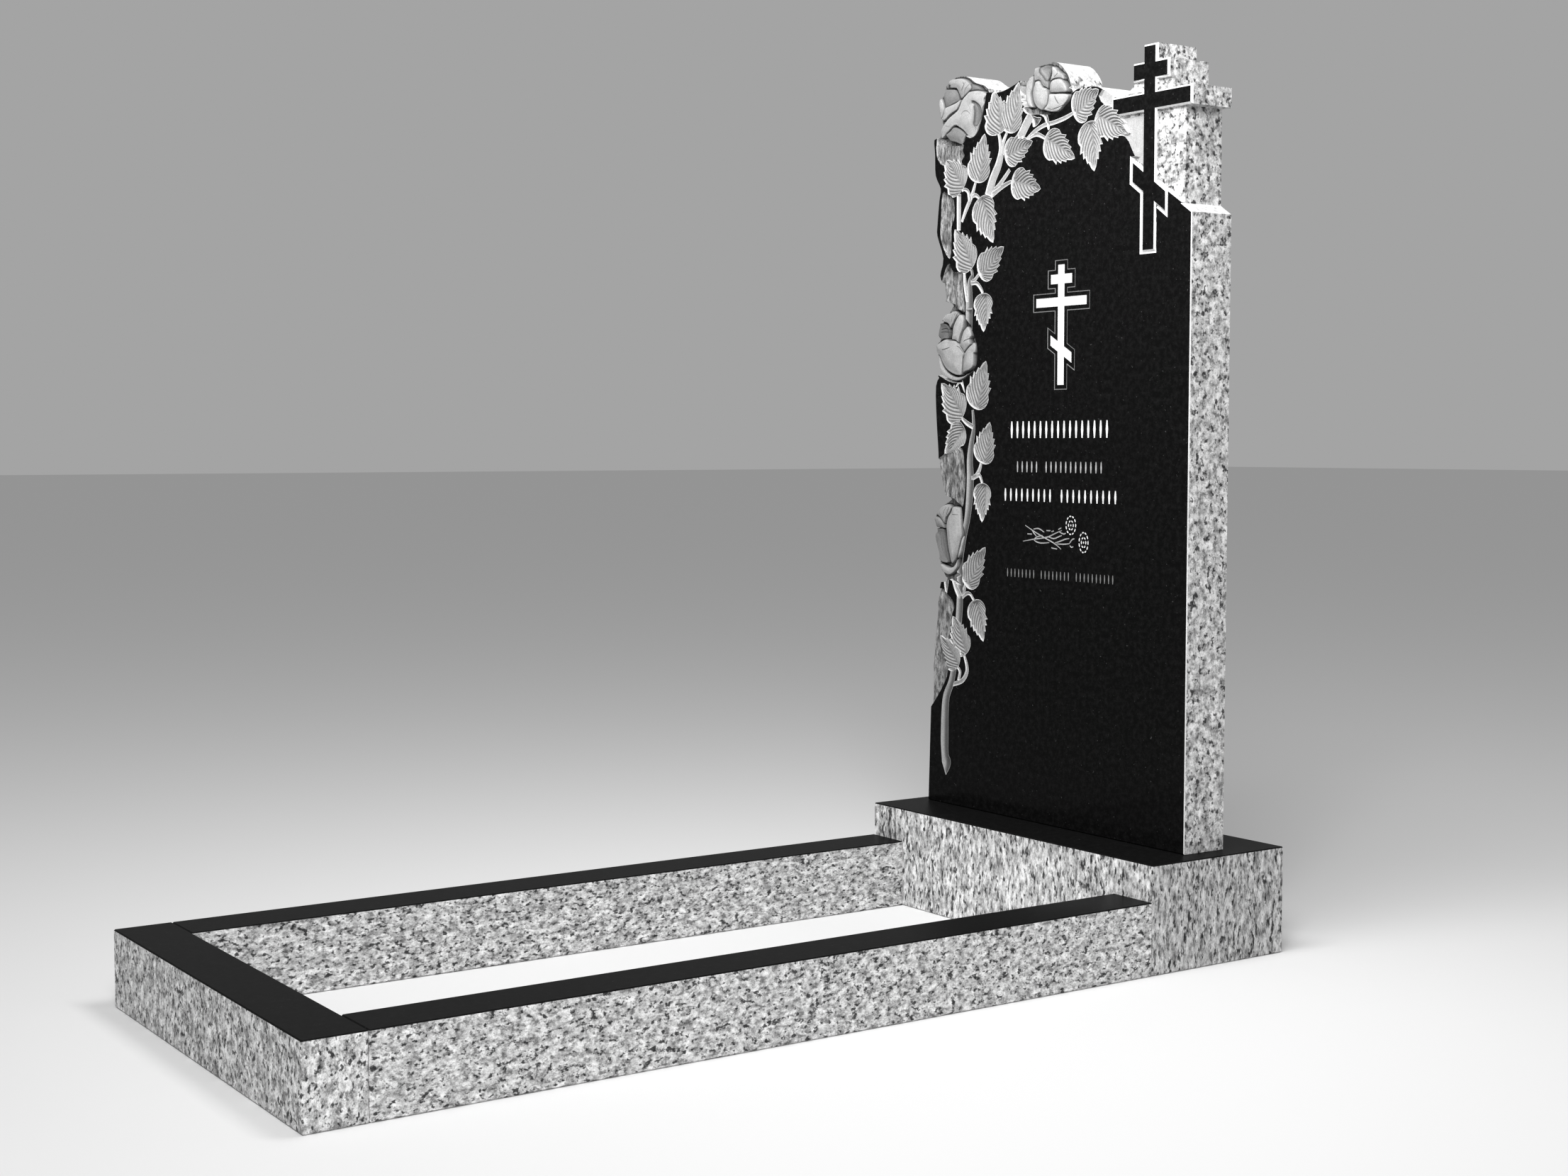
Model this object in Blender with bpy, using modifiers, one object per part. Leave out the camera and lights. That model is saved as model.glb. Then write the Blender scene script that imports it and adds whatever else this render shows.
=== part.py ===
"""Headstone with a flower bed: a carved granite stele on a plinth, and three kerb bars around bare ground.

Metres, +Z up. The origin is on the ground under the middle of the whole set, the front faces -Y and the
stele stands at the back. The stele is one slab. Its outline follows roses, leaves and a large cross, and its
front is a relief: every carved shape is a layer with an outline and a floor, and the layers are laid over
each other from the bottom up.
"""
import math

import bmesh
import bpy
import numpy as np
from mathutils import Vector, noise
from mathutils.geometry import delaunay_2d_cdt

# Plinth and flower bed
PLINTH_LENGTH = 0.500
PLINTH_DEPTH = 0.200
PLINTH_HEIGHT = 0.120
BED_LENGTH = 0.960
BAR_WIDTH = 0.060
BAR_HEIGHT = 0.080
JOINT_GAP = 0.0003
ARRIS_BEVEL = 0.0012

# Stele
STELE_WIDTH = 0.455
STELE_HEIGHT = 0.901
STELE_THICKNESS = 0.060
STELE_SHIFT = -0.0025

# Colours and roughness of the stones
BLACK_GRANITE = (0.03, 0.03, 0.03)
LIGHT_GRANITE = (0.45, 0.45, 0.45)
POLISHED_ROUGHNESS = 0.25
SAWN_ROUGHNESS = 0.5

# Depths of the carving below the polished face
RECESS_DEPTH = 0.006
LEDGE_DEPTH = 0.003
LEAF_DEPTH = 0.0046
LEAF_RIM = 0.0009
STEM_DEPTH = 0.0028
BARK_DEPTH = 0.0036
BARK_ROUGHNESS = 0.0027
ROSE_DEPTH = 0.010
ROSE_FALL = 0.004
CROSS_BEVEL = 0.0022

# The carving is drawn in millimetres on a sheet of this size, which is stretched over the stele's front. The
# drawing's zero is on the ground below the middle of the plinth.
SHEET_LEFT = -230.0
SHEET_WIDTH = 455.0
SHEET_FOOT = 120.0
SHEET_HEIGHT = 901.0

# Drawing values in millimetres: widths of walls and grooves, spacing of points, grain of the rough ground,
# width from which a stem has its full depth, and distance below which points are merged
WALL = 1.4
CROSS_WALL = 0.4
GROOVE_HALF = 2.2
BARK_SPACING = 9.0
PETAL_SPACING = 9.0
BARK_GRAIN = 11.0
FULL_STEM = 9.0
MERGE = 0.25

# How many steps a curve makes between two drawn points, how far the rough ground's humps are drawn out, and
# which slice of the noise they come from
CURVE_STEPS = 2
BARK_STRETCH = 2.2
BARK_SEED = 0.5

# Where an outline is moved inwards, a sharp corner's point goes no further than these two values let it
SHARPEST = 0.2
SHORTEST = 0.5

# A line's point is left out where a later shape covers it by this share of its wall. A grid's points keep
# this share of their spacing from the outline around them.
COVERED_SHARE = 0.6
GRID_MARGIN = 0.4

# Leaf: powers by which its width swells from the base and narrows to the tip, places of its teeth as shares
# of its length, how far they reach out and are cut in as shares of its width, and how far they lean over
# as a share of their length
LEAF_RISE = 0.5
LEAF_FALL = 1.15
TEETH = 6
FIRST_TOOTH = 0.33
LAST_TOOTH = 0.89
TOOTH_REACH = 0.10
TOOTH_CUT = 0.10
TOOTH_LEAN = 1.2
BASE_SHARES = (0.03, 0.12, 0.24)

# Petals: width of the band in which a rose turns away on its left, share of a petal's half size in which it
# rises from its edge to its middle, and heights of the bracts' edges and middles as shares of ROSE_DEPTH
ROSE_TURN = 26.0
DOME_SHARE = 0.8
BRACT_EDGE = 0.6
BRACT_MIDDLE = 0.85

# Outline of the slab's left side and top, clockwise from the foot's left corner; the roses add their own
LEFT_EDGE = (
    (-230, 120), (-226, 230), (-223, 290), (-217, 350), (-212, 380), (-205, 403), (-196, 440), (-193, 490),
    (-204, 512), (-212, 535), (-213, 560), (-217, 600), (-218.5, 643), (-208, 660), (-200, 700),
    (-194, 738), (-203, 748), (-203, 764), (-211, 779), (-205, 800), (-217, 828), (-217, 843),
    (-213.5, 872), (-211, 886), (-221, 903), (-222.5, 928), (-224, 950), (-214, 972), (-200, 990),
    (-180, 1000), (-150, 998), (-126, 993.5), (-110, 991), (-98, 990), (-84, 992), (-70, 995.5),
    (-58, 998), (-45, 985), (-10, 980), (26, 972), (40, 975.5), (68, 974.5), (84, 968), (97.8, 959),
)
CROSS_SLOPE = 0.70
SHOULDER_SLOPE = 0.665
CROSS = {
    "stem": (149.5, 166.8),
    "top": 1006.5,
    "foot": 784.5,
    "short bar": (133.0, 185.5, 971.5, 988.0),
    "long bar": (100.0, 221.0, 938.0, 955.0),
    "foot bar": (132.5, 184.0, 861.0, 882.0),
}
BLOCK_RIGHT = 209.0
BLOCK_TOP = 957.3
BLOCK_TOP_LEFT = 123.0
SHOULDER = (225.0, 820.5)

# Ground cut back around the large cross
RECESSES = (
    ((166.5, 945), (216, 945), (216, 827.5), (166.5, 859.6)),
    ((119, 950), (131, 971), (190, 971), (190, 950)),
    ((92, 945), (151, 945), (151, 868), (132, 882), (130, 889), (136, 889), (130.5, 898), (126, 906),
     (120, 912), (110, 916), (95, 918)),
)
LEDGE = ((76, 963), (84, 971), (101, 962), (101, 948), (88, 950), (80, 956))

# Leaves: base, tip and width
LEAVES = (
    ((-141, 887), (-125, 944), 44), ((-167, 881), (-203, 921), 46), ((-135, 868), (-108, 812), 44),
    ((-99, 940), (-109, 993), 47), ((-83, 940), (-62, 997), 42), ((-88, 913), (-37, 925), 36),
    ((-75, 882), (-22, 868), 38), ((-16, 925), (37, 897), 38), ((58, 936), (70, 879), 40),
    ((33, 948), (76, 970), 40), ((71, 941), (123, 915), 38), ((-150, 783), (-182, 834), 44),
    ((-135, 776), (-88, 806), 38), ((-127, 753), (-125, 706), 36), ((-143, 614), (-120, 671), 45),
    ((-166, 602), (-207, 646), 46), ((-163, 593), (-200, 558), 36), ((-128, 547), (-112, 597), 40),
    ((-126, 523), (-126, 475), 34), ((-158, 396), (-119, 445), 38), ((-141, 379), (-122, 329), 36),
    ((-159, 309), (-182, 357), 40), ((-172, 293), (-210, 331), 34),
)

# Stems: points of the centre line with the width there
STEMS = (
    ((-194, 156, 1), (-193, 171, 17), (-196, 182, 14), (-197, 205, 15), (-195, 250, 13), (-185, 272, 11),
     (-180, 288, 10), (-173, 315, 10), (-170, 352, 12), (-168, 380, 12), (-168, 420, 10),
     (-161, 455, 10), (-154, 480, 11), (-150, 508, 13), (-149, 530, 13), (-150, 552, 11), (-147, 572, 9),
     (-143, 590, 6), (-145, 612, 4)),
    ((-168, 381, 8), (-176, 392, 7), (-181, 402, 6)),
    ((-166, 381, 7), (-160, 390, 6), (-158, 397, 4)),
    ((-166, 380, 6), (-156, 386, 5), (-148, 386, 4), (-141, 379, 4)),
    ((-150, 528, 7), (-139, 531, 6), (-132, 538, 6), (-128, 548, 4)),
    ((-139, 531, 6), (-131, 532, 5), (-126, 523, 4)),
    ((-144, 591, 6), (-156, 596, 6), (-166, 602, 4)),
    ((-153, 735, 13), (-153, 752, 12), (-152, 768, 8), (-147, 776, 5), (-150, 784, 4)),
    ((-153, 735, 13), (-153, 710, 12), (-152, 700, 10)),
    ((-153, 768, 6), (-144, 769, 5), (-135, 776, 4)),
    ((-153, 766, 6), (-140, 766, 5), (-132, 760, 5), (-127, 753, 4)),
    ((-163, 782, 4), (-161, 765, 6), (-158, 744, 3)),
    ((-174, 876, 8), (-174, 853, 8), (-174, 832, 7)),
    ((-168, 842, 4), (-160, 856, 6), (-149, 872, 6), (-142, 887, 4)),
    ((-153, 866, 6), (-156, 877, 5), (-163, 881, 4), (-168, 880, 4)),
    ((-150, 871, 5), (-142, 872, 5), (-135, 868, 4)),
    ((-117, 869, 15), (-110, 887, 13), (-99, 904, 12), (-94, 920, 9), (-96, 932, 6), (-99, 941, 4)),
    ((-93, 915, 8), (-91, 928, 6), (-84, 940, 4)),
    ((-113, 871, 6), (-97, 880, 6), (-78, 896, 5)),
    ((-113, 869, 8), (-93, 877, 6), (-75, 882, 4)),
    ((-72, 920, 13), (-60, 932, 13), (-46, 949, 13), (-38, 956, 13)),
    ((-48, 928, 4), (-33, 936, 5), (-16, 941, 5), (0, 942, 5), (20, 945, 5), (34, 949, 4)),
    ((-46, 929, 4), (-30, 932, 5), (-15, 926, 4)),
    ((-182, 271, 5), (-162, 278, 6), (-153, 292, 6), (-159, 310, 4)),
    ((-170, 277, 5), (-167, 288, 5), (-172, 294, 4)),
)

# Rough, bark-like ground along the left edge
BARK = (
    ((-235, 232), (-224, 240), (-205, 262), (-192, 282), (-190, 300), (-188, 330), (-183, 358), (-179, 368),
     (-183, 377), (-194, 384), (-206, 390), (-235, 375)),
    ((-200, 499), (-220, 520), (-220, 546), (-204, 556), (-190, 562), (-165, 565), (-161, 548), (-158, 530),
     (-160, 508), (-165, 492), (-188, 488)),
    ((-202, 732), (-210, 760), (-205, 775), (-197, 790), (-190, 792), (-184, 782), (-166, 780), (-165, 762),
     (-162, 745), (-163, 730), (-180, 728)),
    ((-206, 880), (-209, 850), (-210, 830), (-205, 815), (-197, 803), (-190, 800), (-188, 822), (-188, 838),
     (-182, 850), (-184, 870), (-195, 878)),
)

# Roses: "outline" is the silhouette that a rose adds to the slab, "ground" is the pocket it lies in. A petal
# has an outline and the heights of its edge and middle above the pocket's floor, as shares of ROSE_DEPTH.
ROSES = (
    {
        "outline": ((-216, 966), (-219, 973), (-223, 984), (-224, 993), (-219, 1000), (-214, 1002),
                    (-212, 1013), (-203, 1016), (-193, 1021), (-178, 1020.5), (-167, 1017), (-154, 1009),
                    (-139, 1004), (-130, 995), (-143, 975), (-183, 960)),
        "ground": ((-232, 952), (-216, 949), (-200, 938), (-168, 936), (-160, 946), (-152, 942),
                   (-140, 946), (-131, 962), (-126, 978), (-122, 995), (-120, 1030), (-235, 1030)),
        "petals": (
            (((-160, 1009), (-145, 1004), (-130, 991), (-153, 996), (-161, 1000)), 0.35, 0.50),
            (((-202.5, 1016), (-196.5, 1019), (-177.5, 1018), (-168.5, 1015), (-160.5, 1009),
              (-157.5, 1003), (-176.5, 992), (-186.5, 1006), (-197.5, 1008)), 0.40, 0.70),
            (((-182, 991), (-214, 985), (-223, 999), (-220, 1002), (-217, 1012), (-210, 1009),
              (-190, 1006), (-185, 1000)), 0.20, 0.35),
            (((-220.5, 999), (-216.5, 997), (-210.5, 985), (-210.5, 982), (-218.5, 973), (-225.5, 983),
              (-227.5, 992), (-225.5, 997)), 0.40, 0.70),
            (((-177, 992), (-176, 989), (-184, 980), (-209, 970), (-217, 972), (-209, 985)), 0.50, 0.75),
            (((-125, 991), (-131, 986), (-129, 981), (-133, 976), (-137, 959), (-144, 947), (-151, 942),
              (-158, 944), (-179, 958), (-188, 961), (-214, 948), (-216, 960), (-197, 973), (-181, 980),
              (-173, 991), (-159, 999), (-136, 997)), 0.60, 0.95),
            (((-144, 962), (-147, 958), (-155, 955), (-164, 957), (-172, 962), (-173, 967), (-169, 974),
              (-165, 976), (-156, 975), (-147, 969)), 0.85, 1.00),
            (((-206, 952), (-190, 960), (-181, 958), (-166, 948), (-173, 936), (-196, 943)), 0.50, 0.80),
        ),
    },
    {
        "outline": ((-61, 985), (-60, 998), (-53, 1001), (-46, 1005), (-41, 1008), (-39, 1012),
                    (-31, 1013), (-22, 1013), (-13, 1014), (-3, 1011), (7, 1003), (15, 992), (18, 980),
                    (23, 971), (-3, 958), (-43, 962)),
        "ground": ((-57, 1030), (-57, 985), (-52, 967), (-42, 957), (-22, 954), (-6, 952), (8, 953),
                   (20, 959), (31, 971), (34, 1030)),
        "petals": (
            (((-47, 1002), (-42, 1002), (-44, 987), (-47, 981), (-42, 965), (-51, 966), (-56, 971),
              (-60, 982), (-58, 994), (-52, 1000)), 0.40, 0.75),
            (((-40, 1009), (-34, 1011), (-26, 1010), (-26, 1004), (-14, 991), (-15, 983), (-25, 987),
              (-30, 993), (-40, 996)), 0.50, 0.80),
            (((-30, 1009), (-17, 1011), (-10, 1007), (-15, 994), (-19, 993), (-30, 1004)), 0.45, 0.30),
            (((-9.5, 1008), (-4.5, 1007), (9.5, 997), (12.5, 992), (9.5, 989), (-6.5, 993), (-12.5, 991),
              (-9.5, 1000)), 0.45, 0.60),
            (((-11, 988), (-7, 992), (1, 993), (9, 991), (16, 985), (19, 979), (18, 975), (-11, 978)),
              0.55, 0.85),
            (((-37, 994), (-32, 995), (-28, 993), (-24, 987), (-17, 984), (-14, 979), (-13, 972),
              (-15, 963), (-22, 959), (-31, 962), (-38, 969), (-41, 985)), 0.60, 0.95),
            (((22.5, 970), (19.5, 965), (4.5, 955), (-6.5, 955), (-21.5, 960), (-15.5, 965),
              (-11.5, 977), (19.5, 973)), 0.60, 0.90),
        ),
    },
    {
        "outline": ((-211, 652), (-217, 661), (-222, 676), (-225, 684), (-229, 695), (-217, 700),
                    (-225, 706), (-220, 718), (-212, 725), (-203, 733), (-193, 741), (-183, 720),
                    (-183, 680), (-193, 650)),
        "ground": ((-235, 655), (-212, 656), (-198, 650), (-183, 646), (-168, 647), (-155, 654),
                   (-143, 660), (-137, 672), (-138, 692), (-147, 709), (-157, 720), (-164, 731),
                   (-180, 738), (-190, 744), (-235, 744)),
        "petals": (
            (((-176, 729), (-182, 727), (-197, 714), (-200, 719), (-217, 725), (-205, 732), (-191, 735),
              (-185, 735)), 0.40, 0.60),
            (((-197.5, 707), (-198.5, 702), (-201.5, 700), (-209.5, 701), (-219.5, 698), (-229.5, 706),
              (-223.5, 719), (-219.5, 722), (-207.5, 720), (-201.5, 716)), 0.45, 0.20),
            (((-169.5, 729), (-166.5, 724), (-168.5, 713), (-177.5, 694), (-183.5, 698), (-190.5, 699),
              (-188.5, 714), (-184.5, 721), (-175.5, 730)), 0.60, 0.90),
            (((-161, 715), (-157, 713), (-154, 708), (-153, 703), (-157, 698), (-155, 692), (-168, 682),
              (-176, 692), (-170, 708)), 0.50, 0.80),
            (((-145, 693), (-144, 689), (-146, 682), (-149, 681), (-150, 666), (-157, 661), (-172, 656),
              (-172, 666), (-168, 681), (-149, 695)), 0.50, 0.80),
            (((-218, 699), (-230, 695), (-231, 699), (-228, 705), (-223, 704)), 0.40, 0.60),
            (((-226, 682), (-222, 683), (-217, 679), (-213, 671), (-205, 663), (-195, 657), (-176, 654),
              (-161, 658), (-164, 654), (-173, 650), (-184, 648), (-207, 654), (-216, 658), (-222, 666)),
              0.35, 0.65),
            (((-226, 694), (-203, 701), (-183, 698), (-177, 694), (-167, 682), (-171, 656), (-180, 655),
              (-201, 663), (-214, 678), (-224, 686)), 0.60, 1.00),
        ),
    },
    {
        "outline": ((-204, 403), (-213, 411), (-215, 420), (-219, 432), (-224, 440), (-228, 449),
                    (-228, 457), (-223, 462), (-224, 471), (-229, 476), (-229, 480), (-223, 487),
                    (-212, 494), (-203, 498), (-193, 500), (-188, 470), (-191, 420)),
        "ground": ((-205, 398), (-188, 402), (-174, 412), (-166, 430), (-161, 455), (-163, 478),
                   (-166, 492), (-178, 499), (-190, 504), (-240, 504), (-240, 398)),
        "petals": (
            (((-228.5, 479), (-215.5, 491), (-198.5, 496), (-192.5, 494), (-191.5, 490), (-203.5, 477),
              (-205.5, 470), (-222.5, 481)), 0.40, 0.65),
            (((-230.5, 478), (-226.5, 480), (-217.5, 479), (-209.5, 474), (-204.5, 465), (-224.5, 466),
              (-230.5, 474)), 0.40, 0.70),
            (((-230, 465), (-208, 465), (-197, 423), (-208, 422), (-217, 425), (-226, 433), (-231, 443)),
              0.50, 0.20),
            (((-231.5, 455), (-222.5, 430), (-207.5, 420), (-211.5, 418), (-220.5, 425), (-227.5, 435),
              (-231.5, 445)), 0.35, 0.55),
            (((-178, 493), (-171, 491), (-168, 458), (-177, 430), (-189, 422), (-197, 446), (-200, 469),
              (-197, 479), (-187, 493)), 0.60, 1.00),
            (((-164, 458), (-163, 454), (-170, 435), (-175, 429), (-177, 430), (-169, 453)), 0.60, 0.80),
            (((-176.5, 432), (-179.5, 417), (-187.5, 410), (-196.5, 407), (-210.5, 412), (-213.5, 419),
              (-210.5, 421), (-193.5, 417), (-184.5, 420)), 0.45, 0.75),
        ),
    },
)

# Bracts and sepals around the roses
BRACTS = (
    ((-167, 910), (-202, 913), (-216, 923), (-219, 934), (-218, 941), (-209, 949), (-202, 951),
     (-194, 944), (-168, 936), (-165, 934), (-167, 928), (-164, 922), (-170, 915)),
    ((-207, 952), (-201, 947), (-201, 937), (-209, 916), (-214, 922), (-218, 935), (-217, 950)),
    ((-45, 958), (-22, 950), (-27, 944), (-36, 941), (-38, 948)),
    ((-26, 955), (-17, 950), (-10, 935), (-7, 938), (-11, 952), (-20, 958)),
    ((-55, 965), (-48, 967), (-40, 963), (-44, 958), (-50, 959)),
    ((-178, 642), (-171, 649), (-166, 650), (-161, 633), (-169, 645), (-176, 641)),
    ((-189, 404), (-178, 413), (-167, 408), (-175, 404), (-166, 395), (-180, 399)),
    ((-190, 405), (-195, 381), (-199, 394), (-199, 404)),
)


def smooth(points, steps, closed):
    """Points of a Catmull-Rom curve through the given ones; each may hold more than two values."""
    points = np.array(points, float)
    count = len(points)
    out = []
    for i in range(count if closed else count - 1):
        if closed:
            a, b, c, d = (points[(i + k) % count] for k in (-1, 0, 1, 2))
        else:
            a, b, c, d = (points[min(max(i + k, 0), count - 1)] for k in (-1, 0, 1, 2))
        for t in np.arange(steps) / steps:
            out.append(0.5 * (2 * b + (c - a) * t + (2 * a - 5 * b + 4 * c - d) * t * t
                              + (3 * b - a - 3 * c + d) * t ** 3))
    if not closed:
        out.append(points[-1])
    return np.array(out)


def ribbon(stem):
    """Outline of a stem from its centre line and widths."""
    line = smooth(stem, CURVE_STEPS, False)
    run = np.gradient(line[:, :2], axis=0)
    side = np.stack([-run[:, 1], run[:, 0]], 1) / np.hypot(run[:, 0], run[:, 1])[:, None]
    half = line[:, 2:3] / 2
    return np.concatenate([line[:, :2] + side * half, (line[:, :2] - side * half)[::-1]])


def leaf_half_width(share):
    """Half the width of a leaf, as a share of its largest, at a share of the way from base to tip."""
    widest = LEAF_RISE / (LEAF_RISE + LEAF_FALL)
    return (share / widest) ** LEAF_RISE * ((1 - share) / (1 - widest)) ** LEAF_FALL


def leaf_outline(base, tip, width):
    """Outline of a leaf: a smooth round base, then teeth that point to the tip."""
    base = np.array(base, float)
    tip = np.array(tip, float)
    along = tip - base
    across = np.array([-along[1], along[0]]) / np.hypot(*along) * width / 2
    profile = [(s, leaf_half_width(s)) for s in BASE_SHARES]
    step = (LAST_TOOTH - FIRST_TOOTH) / TEETH
    for k in range(TEETH):
        start = FIRST_TOOTH + k * step
        profile.append((start, leaf_half_width(start) * (1 - TOOTH_CUT)))
        profile.append((start + TOOTH_LEAN * step, leaf_half_width(start + step) * (1 + TOOTH_REACH)))
    left = [base + along * s + across * w for s, w in profile]
    right = [base + along * s - across * w for s, w in profile]
    return np.array([base] + left + [tip] + right[::-1])


def depth_inside(points, outline):
    """Distance of each point to the outline, positive inside it."""
    start = outline
    end = np.roll(outline, -1, axis=0)
    run = end - start
    offset = points[:, None, :] - start[None]
    share = np.clip((offset * run).sum(2) / (run * run).sum(1), 0, 1)
    gap = np.hypot(*np.moveaxis(offset - share[..., None] * run, 2, 0)).min(1)
    x, z = points[:, 0:1], points[:, 1:2]
    rising = (start[:, 1] > z) != (end[:, 1] > z)
    height = np.where(run[:, 1] == 0, 1, run[:, 1])
    crossing = x < start[:, 0] + (z - start[:, 1]) * run[:, 0] / height
    inside = (rising & crossing).sum(1) % 2 == 1
    return np.where(inside, gap, -gap)


def area(outline):
    """Signed area of an outline, positive when it runs anticlockwise."""
    following = np.roll(outline, -1, axis=0)
    return 0.5 * (outline[:, 0] * following[:, 1] - following[:, 0] * outline[:, 1]).sum()


def moved_in(outline, distance):
    """The outline moved inwards by a distance, or outwards by a negative one, with sharp corners."""
    turn = 1 if area(outline) > 0 else -1
    before = outline - np.roll(outline, 1, axis=0)
    after = np.roll(outline, -1, axis=0) - outline
    normals = []
    for run in (before, after):
        normal = np.stack([-run[:, 1], run[:, 0]], 1) * turn
        normals.append(normal / np.hypot(run[:, 0], run[:, 1])[:, None])
    middle = normals[0] + normals[1]
    middle /= np.maximum(np.hypot(middle[:, 0], middle[:, 1]), SHARPEST)[:, None]
    stretch = np.maximum((middle * normals[0]).sum(1), SHORTEST)
    return outline + middle * (distance / stretch)[:, None]


def cross_outline(cross):
    """Outline of the eight-pointed cross, anticlockwise from its foot's left corner."""
    left, right = cross["stem"]
    top = cross["top"]
    foot = cross["foot"]
    short_left, short_right, short_low, short_high = cross["short bar"]
    long_left, long_right, long_low, long_high = cross["long bar"]
    bar_left, bar_right, bar_low, bar_high = cross["foot bar"]

    def along(height, x):
        return height - CROSS_SLOPE * (x - bar_left)

    return np.array([
        (left, foot), (right, foot), (right, along(bar_low, right)), (bar_right, along(bar_low, bar_right)),
        (bar_right, along(bar_high, bar_right)), (right, along(bar_high, right)), (right, long_low),
        (long_right, long_low), (long_right, long_high), (right, long_high), (right, short_low),
        (short_right, short_low), (short_right, short_high), (right, short_high), (right, top), (left, top),
        (left, short_high), (short_left, short_high), (short_left, short_low), (left, short_low),
        (left, long_high), (long_left, long_high), (long_left, long_low), (left, long_low),
        (left, along(bar_high, left)), (bar_left, bar_high), (bar_left, bar_low),
        (left, along(bar_low, left)),
    ], float)


def slab_outline():
    """Outline of the slab: the carved left and top edge, the cross and the block behind it, the shoulder."""
    cross = moved_in(cross_outline(CROSS), -GROOVE_HALF)
    short_bar_and_top = cross[12:19][::-1]
    low_bar = CROSS["long bar"][2] - GROOVE_HALF
    high_bar = CROSS["long bar"][3] + GROOVE_HALF
    bar_right = CROSS["long bar"][1] + GROOVE_HALF
    short = CROSS["short bar"]
    shoulder_rise = (SHOULDER[0] - BLOCK_RIGHT) * SHOULDER_SLOPE
    right = [
        (short[1] + GROOVE_HALF, high_bar), (bar_right, high_bar), (bar_right, low_bar),
        (BLOCK_RIGHT, low_bar), (BLOCK_RIGHT, SHOULDER[1] + shoulder_rise), SHOULDER,
        (SHOULDER[0], SHEET_FOOT),
    ]
    left = list(LEFT_EDGE) + [(CROSS["long bar"][0] - GROOVE_HALF, BLOCK_TOP), (BLOCK_TOP_LEFT, BLOCK_TOP)]
    return np.array(left + [tuple(point) for point in short_bar_and_top] + right, float)


class Layer:
    """One carved shape: an outline on the sheet, and its floor's height by place and distance inwards."""

    def __init__(self, outline, floor, wall=WALL, spacing=0.0, lines=(), cuts=False):
        self.outline = np.array(outline, float)
        self.floor = floor
        self.wall = wall
        self.spacing = spacing
        self.lines = lines
        self.cuts = cuts

    def laid_over(self, points, heights):
        """Heights after this shape is carved into what lies below it."""
        inwards = depth_inside(points, self.outline)
        floor = self.floor(points, inwards)
        if self.cuts:
            return np.where(inwards > 0, np.minimum(heights, floor), heights)
        weight = np.clip(inwards / self.wall, 0, 1)
        return heights + (floor - heights) * weight


def flat_floor(depth):
    """A level floor."""
    return lambda points, inwards: np.full(len(points), -depth)


def bark_floor(points, inwards):
    """Rough ground, its humps drawn out upwards."""
    rough = [
        noise.noise(Vector((x / BARK_GRAIN, z / BARK_GRAIN / BARK_STRETCH, BARK_SEED))) for x, z in points
    ]
    return -BARK_DEPTH + BARK_ROUGHNESS * np.array(rough)


def stem_floor(width):
    """A round gouge, deepest along its middle; narrow stems are shallower."""
    depth = STEM_DEPTH * min(1, width / FULL_STEM)
    return lambda points, inwards: -depth * (1 - np.clip(1 - inwards / (width / 2), 0, 1) ** 2)


def leaf_floor(base, tip, width):
    """A leaf folded along its midrib, which is the deepest line."""
    base = np.array(base, float)
    along = np.array(tip, float) - base
    along /= np.hypot(*along)

    def floor(points, inwards):
        offset = points - base
        aside = np.abs(offset[:, 0] * along[1] - offset[:, 1] * along[0])
        return -LEAF_DEPTH + (LEAF_DEPTH - LEAF_RIM) * np.clip(aside / (width / 2), 0, 1)

    return floor


def petal_floor(outline, edge, middle, left):
    """A petal that bulges or dips from its edge to its middle and falls away to the rose's left side."""
    outline = np.array(outline, float)
    half = (outline.max(0) - outline.min(0)) / 2
    reach = half.min() * DOME_SHARE

    def floor(points, inwards):
        dome = 1 - (1 - np.clip(inwards / reach, 0, 1)) ** 2
        away = np.clip(1 - (points[:, 0] - left) / ROSE_TURN, 0, 1) ** 2
        depth = ROSE_DEPTH * (1 - (edge + (middle - edge) * dome)) + ROSE_FALL * away
        return np.minimum(-depth, 0)

    return floor


def carved_layers():
    """All carved shapes from the bottom up."""
    layers = [Layer(outline, flat_floor(RECESS_DEPTH)) for outline in RECESSES]
    layers.append(Layer(LEDGE, flat_floor(LEDGE_DEPTH)))
    cross = cross_outline(CROSS)
    deep = CROSS_BEVEL / GROOVE_HALF
    layers.append(Layer(
        moved_in(cross, -2 * GROOVE_HALF), lambda points, inwards: -deep * inwards, cuts=True,
    ))
    layers.append(Layer(
        moved_in(cross, -GROOVE_HALF),
        lambda points, inwards: np.minimum(-CROSS_BEVEL + deep * inwards, 0),
        wall=CROSS_WALL,
        lines=[np.concatenate([cross, cross[:1]])],
    ))
    for outline in BARK:
        layers.append(Layer(outline, bark_floor, spacing=BARK_SPACING))
    for stem in STEMS:
        line = smooth(stem, CURVE_STEPS, False)[:, :2]
        widest = max(point[2] for point in stem)
        layers.append(Layer(ribbon(stem), stem_floor(widest), lines=[line]))
    for outline in BRACTS:
        left = min(x for x, _ in outline) - ROSE_TURN
        layers.append(Layer(outline, petal_floor(outline, BRACT_EDGE, BRACT_MIDDLE, left)))
    for rose in ROSES:
        left = min(x for x, _ in rose["outline"])
        layers.append(Layer(rose["ground"], flat_floor(ROSE_DEPTH)))
        for outline, edge, middle in rose["petals"]:
            layers.append(Layer(
                smooth(outline, CURVE_STEPS, True), petal_floor(outline, edge, middle, left),
                spacing=PETAL_SPACING,
            ))
    for base, tip, width in LEAVES:
        midrib = np.array([base, tip], float)
        layers.append(Layer(leaf_outline(base, tip, width), leaf_floor(base, tip, width), lines=[midrib]))
    return layers


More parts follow.
